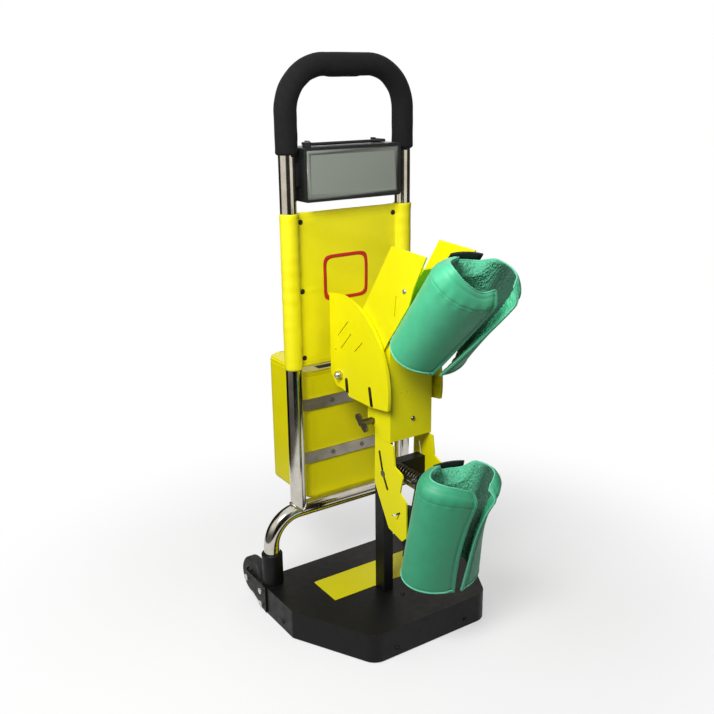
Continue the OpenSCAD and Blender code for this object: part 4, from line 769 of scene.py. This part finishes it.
def make_banner():
    """The banner as one cloth with a small thickness, and the stitches along its seams."""
    wide, tall = 400, 120
    line, d = banner_line(wide)
    z = np.linspace(BANNER_LOW, BANNER_HIGH, tall)
    points = banner_points(line, z)
    uv = np.stack(grid(d, z), -1)
    piece = make_piece(
        "banner_cloth", points, grid_faces(wide, tall), "frame", banner_cloth, "yellow_cloth", uv=uv)
    thicken(piece, 0.9 * MM)
    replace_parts(piece, "banner")
    across = np.linspace(-109 * MM, 109 * MM, 58)
    up = np.linspace(BANNER_LOW + 6 * MM, BANNER_HIGH - 6 * MM, 80)
    rows = [(across, edge, 1) for edge in (BANNER_LOW + 9 * MM, BANNER_HIGH - 9 * MM)]
    x, z, level = join(rows + [(side * BANNER_HALF, up, 0) for side in (-1, 1)])
    y = BANNER_Y - banner_bulge(x, z, banner_loose(x)) - 0.5 * MM
    along = np.stack([level, 0 * level, 1 - level], 1)
    forwards = np.tile((0.0, -1.0, 0.0), (len(x), 1))
    beads(np.stack([x, y, z], 1), along, forwards, 2.6 * MM, 0.4 * MM, "banner_stitches", "frame",
          yellow_thread, "yellow_cloth")


def make_printed_frame():
    """A plain red rounded frame printed on the banner: a flat band carried round a rounded rectangle.

    The band follows the cloth's own bulge and stands a hair in front of it.
    """
    middle_x, middle_z, half_x, half_z, band = -8 * MM, 682 * MM, 48 * MM, 42 * MM, 3.6 * MM
    count = 240
    a = round_angles(count)
    c, s = np.cos(a), np.sin(a)
    roundness = 2 / 7
    rows = []
    for offset in np.array([-1, -0.5, 0, 0.5, 1]) * band:
        x = middle_x + (half_x + offset) * np.sign(c) * np.abs(c) ** roundness
        z = middle_z + (half_z + offset) * np.sign(s) * np.abs(s) ** roundness
        y = BANNER_Y - banner_bulge(x, z, np.ones_like(x)) - 0.62 * MM
        rows.append(np.stack([x, y, z], 1))
    faces = grid_faces(5, count, wrap_cols=True)
    piece = make_piece("printed_frame", np.stack(rows), faces, "frame", red_ink, "yellow_cloth")
    thicken(piece, 0.15 * MM)


make_banner()
make_printed_frame()


# Bin

def rounded_plan(half_x, half_y, corner, count):
    """A rounded rectangle, evenly spaced along it: straight sides between four quarter circles."""
    turn = np.linspace(0, math.pi / 2, 13) + np.arange(4)[:, None] * math.pi / 2
    x = np.array([[1], [-1], [-1], [1]]) * (half_x - corner) + corner * np.cos(turn)
    y = np.array([[1], [1], [-1], [-1]]) * (half_y - corner) + corner * np.sin(turn)
    line = np.stack([x.ravel(), y.ravel()], 1)
    return evenly(np.concatenate([line, line[:1]]), count, endpoint=False)[0]


def rounded_box(name, half_x, half_y, middle_y, corner, profile, body, finish, slot):
    """A closed shell: a rounded plan carried along a profile of (inset, height), capped at both ends."""
    count = 160
    rows = []
    for inset, z in profile:
        plan = rounded_plan(half_x - inset, half_y - inset, max(corner - inset, 3 * MM), count)
        rows.append(np.concatenate([plan + [0, middle_y], np.full((count, 1), z)], 1))
    faces = grid_faces(len(rows), count, wrap_cols=True).tolist()
    last = (len(rows) - 1) * count
    faces += [list(range(count)), list(range(last, last + count))]
    return make_piece(name, np.stack(rows), faces, body, finish, slot, outwards=True)


BIN_X, BIN_Y, BIN_MIDDLE = 97 * MM, 79.5 * MM, 223.62 * MM
BIN_LOW, BIN_RIM = 211 * MM, 480.7 * MM
HINGE_Y, HINGE_Z, KNUCKLE_R = 308.12 * MM, 486 * MM, 4.5 * MM


def make_bin():
    """The bin: its profile runs under the floor, up the outside, over the rim and down the inside."""
    edge = np.linspace(0, math.pi / 2, 8)
    outer = np.stack([9 * MM * (1 - np.sin(edge)), BIN_LOW + 9 * MM * (1 - np.cos(edge))], 1)
    wall = np.stack([np.zeros(6), np.linspace(BIN_LOW + 12 * MM, BIN_RIM - 3 * MM, 6)], 1)
    rim = np.stack([1.5 * MM * (1 - np.cos(edge * 2)), BIN_RIM - 1.5 * MM + 1.5 * MM * np.sin(edge * 2)], 1)
    inner = np.stack([3 * MM + 8 * MM * (1 - np.cos(edge)), BIN_LOW + 11 * MM - 8 * MM * np.sin(edge)], 1)
    profile = np.concatenate([
        [[60 * MM, BIN_LOW], [30 * MM, BIN_LOW]], outer, wall, rim, [[3 * MM, BIN_RIM - 20 * MM]], inner,
        [[30 * MM, BIN_LOW + 3 * MM], [60 * MM, BIN_LOW + 3 * MM]]])
    piece = rounded_box(
        "bin_shell", BIN_X, BIN_Y, BIN_MIDDLE, 18 * MM, profile, "frame", yellow_mould, "yellow_plastic")
    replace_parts(piece, "bin_body")
    a = round_angles(28)
    for side, name in ((-1, "bin_knuckle_left"), (1, "bin_knuckle_right")):
        rows = [
            np.stack([np.full_like(a, side * x), HINGE_Y + r * np.cos(a), HINGE_Z + r * np.sin(a)], 1)
            for x, r in ((58.7 * MM, 0), (58.7 * MM, KNUCKLE_R), (72.7 * MM, KNUCKLE_R), (72.7 * MM, 0))]
        round_piece(name, np.stack(rows), "frame", yellow_mould, "yellow_plastic", merge=1e-6)


def make_lid_shade_pad():
    """The black rubber pad in the lid's recess, painted shade for the shadow under the banner's lower edge: a
    low rounded block with a small round along its top.
    """
    edge = np.linspace(0, math.pi / 2, 5)
    top = np.stack([1.2 * MM * (1 - np.cos(edge)), 488.8 * MM + 1.2 * MM * np.sin(edge)], 1)
    profile = np.concatenate([[[0, 485.1 * MM]], top])
    rounded_box("lid_shade_pad", 57.9 * MM, 9.7 * MM, 164.12 * MM, 4 * MM, profile, "lid", grip_foam, "rubber")


make_bin()
make_lid_shade_pad()


# Panel border

def make_panel_border():
    """A thin darker frame round the grey panel: two rectangles joined by a flat band."""
    corners = np.array(frame["nodes"]["box_panel"].bound_box)
    low, high = corners.min(0), corners.max(0)
    rows = []
    for inset in (2.6 * MM, 11.5 * MM):
        x = np.array([low[0] + inset, high[0] - inset, high[0] - inset, low[0] + inset])
        z = np.array([low[2] + inset, low[2] + inset, high[2] - inset, high[2] - inset])
        rows.append(np.stack([x, np.full(4, low[1] - 0.15 * MM), z], 1))
    faces = grid_faces(2, 4, wrap_cols=True)
    piece = make_piece("panel_border", np.stack(rows), faces, "frame", rim_panel, "grey_panel")
    thicken(piece, 0.3 * MM)


make_panel_border()


# Spring

def make_spring():
    """The push spring: a wire along a helix whose curls lie closer together towards both ends."""
    curls, coil_r, wire_r = 11, 9.8 * MM, 1.2 * MM
    middle_x, middle_z = -22 * MM, 344 * MM
    start, end = -66.3 * MM - wire_r, -143.9 * MM + wire_r
    turn = np.linspace(0, TAU * curls, curls * 40 + 1)
    share = turn / turn[-1]
    y = start + (end - start) * (share - 0.045 * np.sin(TAU * share))
    path = np.stack([middle_x + coil_r * np.cos(turn), y, middle_z + coil_r * np.sin(turn)], 1)
    out = np.stack([np.cos(turn), np.zeros_like(turn), np.sin(turn)], 1)
    coil = wire(path, out, wire_r, 12)
    piece = round_piece("coil", coil, "carriage", spring_wire, "spring_steel", merge=1e-7)
    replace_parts(piece, "push_spring")
    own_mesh(piece)


make_spring()


# Dark strips in the open slots, as painted shade

def make_slot_shade_strips():
    """Dark strips pressed into the slots of the quadrants and of the left leg: painted shade, so that the
    slots look deep and shadowed.

    A strip's outline is two straight sides with a half circle on top. Its rows run from a low lip on the
    plate's face into the slot. Each entry gives the slot's upper and lower end as (y, z), half its width, the
    lip's width, the plate's face and the strip's depth, in millimetres, and the sides that have it.
    """
    turn = np.linspace(0, math.pi, 13)[:, None]
    points, faces = [], []
    for top, low, half, lip, face, depth, sides in (
            ((44, 497), (41.2, 473), 3, 1.8, 63, 5.8, (-1, 1)),
            ((-35, 501), (-41.4, 468.5), 2.5, 2.0, 63, 5.8, (-1, 1)),
            ((-45, 375), (-54.3, 340.3), 2.5, 0.4, 48, 2.8, (-1,)),
            ((-60, 326.5), (-71, 306), 2.5, 0.4, 48, 2.8, (-1,))):
        top, low = np.array(top, float), np.array(low, float)
        up = (top - low) / np.linalg.norm(top - low)
        across = np.array([up[1], -up[0]])
        for side in sides:
            wide, narrow = half + lip, half - 0.05
            for x, r in ((face + 0.4, wide), (face, wide), (face, narrow), (face - depth, narrow)):
                arc = top + r * (np.cos(turn) * across + np.sin(turn) * up)
                outline = np.concatenate([[low + r * across], arc, [low - r * across]])
                points.append(np.concatenate([np.full((15, 1), side * x), outline], 1))
            first = (len(points) - 4) * 15
            faces += (grid_faces(4, 15, wrap_cols=True) + first).tolist()
            faces += [list(range(first, first + 15)), list(range(first + 45, first + 60))]
    points = np.concatenate(points) * MM
    make_piece("slot_shade_strips", points, faces, "carriage", slot_shade_felt, "rubber", outwards=True)


make_slot_shade_strips()


# Solids that keep their shape, with broken edges

for finish, edges in (
        (black_coat, {
            "base_tray": 2.2, "socket_left": 0.8, "socket_right": 0.8, "wheel_bracket_left": 0.5,
            "wheel_bracket_right": 0.5, "post": 0.8, "post_foot": 0.5, "spring_block": 1.0,
            "lower_bracket": 0.6, "base_screws": 0.3}),
        (bar_steel, {"upper_cross_bar": 0.4, "lower_cross_bar": 0.4}),
        (dark_zinc, {"bar_rivets": 0.4, "block_bolts": 0.4, "wing_screw": 0.8, "lower_rivets": 0.4}),
        (zinc, {
            "bracket_bolts": 0.5, "axle_bolts": 0.5, "pivot_bolt": 0.4, "arm_bolts": 0.4, "stop_rod": 0.4}),
        (black_mould, {
            "banner_snaps": 0.5, "box_shell": 0.9, "box_bezel": 0.6, "box_back": 0.8, "box_brackets": 0.6,
            "box_knob": 0.6, "box_handle": 0.3, "wheel_hub_left": 0.6, "wheel_hub_right": 0.6,
            "post_cap": 0.8, "upper_shell": 0.8, "lower_shell": 0.8}),
        (grey_panel, {"box_panel": 0.3}),
        (yellow_mould, {"bin_lid": 1.6}),
        (tyre_rubber, {"wheel_tyre_left": 1.2, "wheel_tyre_right": 1.2}),
        (yellow_coat, {
            "carriage": 0.5, "guide_block": 0.8, "quadrant_left": 0.6, "quadrant_right": 0.6,
            "quadrant_spacers": 0.3, "lower_pins": 0.3, "upper_arm_left": 0.5, "upper_arm_right": 0.5,
            "upper_mount": 0.5})):
    for node, edge_mm in edges.items():
        softened(node, finish, edge_mm * MM)

for node, finish in (
        ("ballast_plate", plate_steel), ("base_feet", tyre_rubber), ("tray_standoff", zinc),
        ("base_label", yellow_film), ("box_battery", black_mould), ("lid_pin", zinc)):
    solid = frame["nodes"][node]
    solid.data.materials.clear()
    solid.data.materials.append(finish)


# Room, light and camera

CARD_R = 0.85
CARD_SOFT = 5


def stage_piece(name, points, faces, finish_name):
    """A piece of the room with a new finish, and that finish's emptied tree."""
    mesh = bpy.data.meshes.new(name)
    mesh.from_pydata(points.reshape(-1, 3).tolist(), [], faces.tolist())
    finish = bpy.data.materials.new(finish_name)
    mesh.materials.append(finish)
    piece = link(name, mesh)
    return piece, clear_tree(finish)


def make_cards():
    """Dark studio cards in a ring round the stand with three gaps of white, seen only in mirroring surfaces.

    The ring is a cylinder. How white it is follows how near a point's direction is to one of three
    directions, and grows with the height. Each gap is a direction and half a width, in degrees.
    """
    a = round_angles(120)
    x, y = CARD_R * np.cos(a), CARD_R * np.sin(a)
    points = np.stack([np.stack([x, y, np.full_like(a, z)], 1) for z in (0.002, 1.0)])
    cards, tree = stage_piece("cards", points, grid_faces(2, 120, wrap_cols=True), "studio_board")
    for rays in ("camera", "diffuse", "transmission", "shadow"):
        setattr(cards, "visible_" + rays, False)
    place = add(tree, "TexCoord", {}).outputs
    parts = add(tree, "SeparateXYZ", {0: place["Object"]})
    total = 0.0
    for degrees, half in ((178, 34), (-66, 23), (55, 30)):
        turn = math.radians(degrees)
        edges = [CARD_R * math.cos(math.radians(half + soft)) for soft in (CARD_SOFT, -CARD_SOFT)]
        near = add(tree, "VectorMath", {
            0: place["Object"], 1: (math.cos(turn), math.sin(turn), 0)}, operation="DOT_PRODUCT")
        white = add(tree, "MapRange", {
            0: near.outputs[1], 1: edges[0], 2: edges[1], 3: 0.03, 4: 1.0}, interpolation_type="SMOOTHSTEP")
        total = add(tree, "Math", {0: total, 1: white}, operation="MAXIMUM")
    height = add(tree, "MapRange", {
        0: parts.outputs["Z"], 1: 0.2, 2: 0.6, 3: 0.12, 4: 1.0}, interpolation_type="SMOOTHSTEP")
    total = add(tree, "Math", {0: total, 1: height}, operation="MULTIPLY")
    glow = add(tree, "Emission", {"Color": "#fffaf0", "Strength": total})
    add(tree, "OutputMaterial", {"Surface": glow})


def sees(tree):
    """1 for rays that see a thing straight, through glass or in a mirror, and 0 for light on its way."""
    ray = add(tree, "LightPath", {})
    through = add(tree, "Math", {
        0: ray.outputs["Is Camera Ray"], 1: ray.outputs["Is Transmission Ray"]}, operation="MAXIMUM")
    return add(tree, "Math", {0: through, 1: ray.outputs["Is Glossy Ray"]}, operation="MAXIMUM")


def make_floor():
    """A pale floor that keeps the stand's shadow and fades to plain white from 0.3 m to 1 m away from it."""
    a = round_angles(96)
    radii = np.array([0.0, 0.4, 0.8, 1.5, 3.0, 9.0])[:, None]
    points = np.stack([radii * np.cos(a), radii * np.sin(a), np.zeros((6, 96))], -1)
    tree = stage_piece("floor", points, grid_faces(6, 96, wrap_cols=True)[:, ::-1], "paper_floor")[1]
    place = add(tree, "TexCoord", {}).outputs
    away = add(tree, "VectorMath", {0: place["Object"]}, operation="LENGTH")
    share = add(tree, "MapRange", {
        0: away.outputs["Value"], 1: 0.3, 2: 1.0, 3: 0.55, 4: 1.0}, interpolation_type="SMOOTHSTEP")
    matt = add(tree, "BsdfDiffuse", {"Color": "#f4f4f3"})
    glow = add(tree, "Emission", {"Color": "#ffffff", "Strength": 1.0})
    seen = add(tree, "MixShader", {0: share, 1: matt, 2: glow})
    dull = add(tree, "BsdfDiffuse", {"Color": "#55524c"})
    mixed = add(tree, "MixShader", {0: sees(tree), 1: dull, 2: seen})
    add(tree, "OutputMaterial", {"Surface": mixed})


def make_sky():
    """A world that looks plain white and gives a faint cool light."""
    sky = bpy.data.worlds.new("studio")
    bpy.context.scene.world = sky
    tree = clear_tree(sky)
    plain = add(tree, "Background", {"Color": "#ffffff", "Strength": 1.0})
    soft = add(tree, "Background", {"Color": "#f6f8ff", "Strength": 0.1})
    mixed = add(tree, "MixShader", {0: sees(tree), 1: soft, 2: plain})
    add(tree, "OutputWorld", {"Surface": mixed})


def placed(right, up, back, place):
    """The matrix of something that looks away from its back, at a place."""
    turn = np.eye(4)
    turn[:3] = np.stack([right, up, back, place], 1)
    return Matrix(turn.tolist())


def make_lamps():
    """Soft square lights, each at a spot and aimed at a point: most from the left, a little all round."""
    for name, spot, aim, size, power in (
            ("key", (-1.13, -0.8, 1.75), (0, 0, 0.55), 0.7, 36),
            ("side", (-1.7, 0.3, 1.2), (0, 0, 0.45), 1.0, 8),
            ("fill", (1.6, -2.3, 1.7), (0, 0, 0.5), 1.8, 7),
            ("rear", (1.5, 2.4, 1.8), (0, 0, 0.5), 1.8, 14)):
        lamp = bpy.data.lights.new(name, "AREA")
        lamp.energy = power
        lamp.size = size
        back = unit(np.array(spot) - np.array(aim))
        right = unit(np.cross((0, 0, 1), back))
        link(name, lamp).matrix_world = placed(right, np.cross(back, right), back, spot)


def make_camera():
    """The photo's camera, solved from the base, the uprights, the bin and the grip."""
    lens = bpy.data.cameras.new("camera")
    lens.lens = 45.38
    lens.sensor_width = 36
    lens.clip_end = 40
    camera = link("camera", lens)
    right, up, back = (0.8327, -0.5537, -0.0123), (0.1726, 0.2383, 0.9557), (-0.5262, -0.7979, 0.2940)
    camera.matrix_world = placed(right, up, back, (-0.9520, -1.3420, 1.0500))
    bpy.context.scene.camera = camera


make_cards()
make_floor()
make_sky()
make_lamps()
make_camera()
bpy.context.scene.view_settings.view_transform = "Standard"
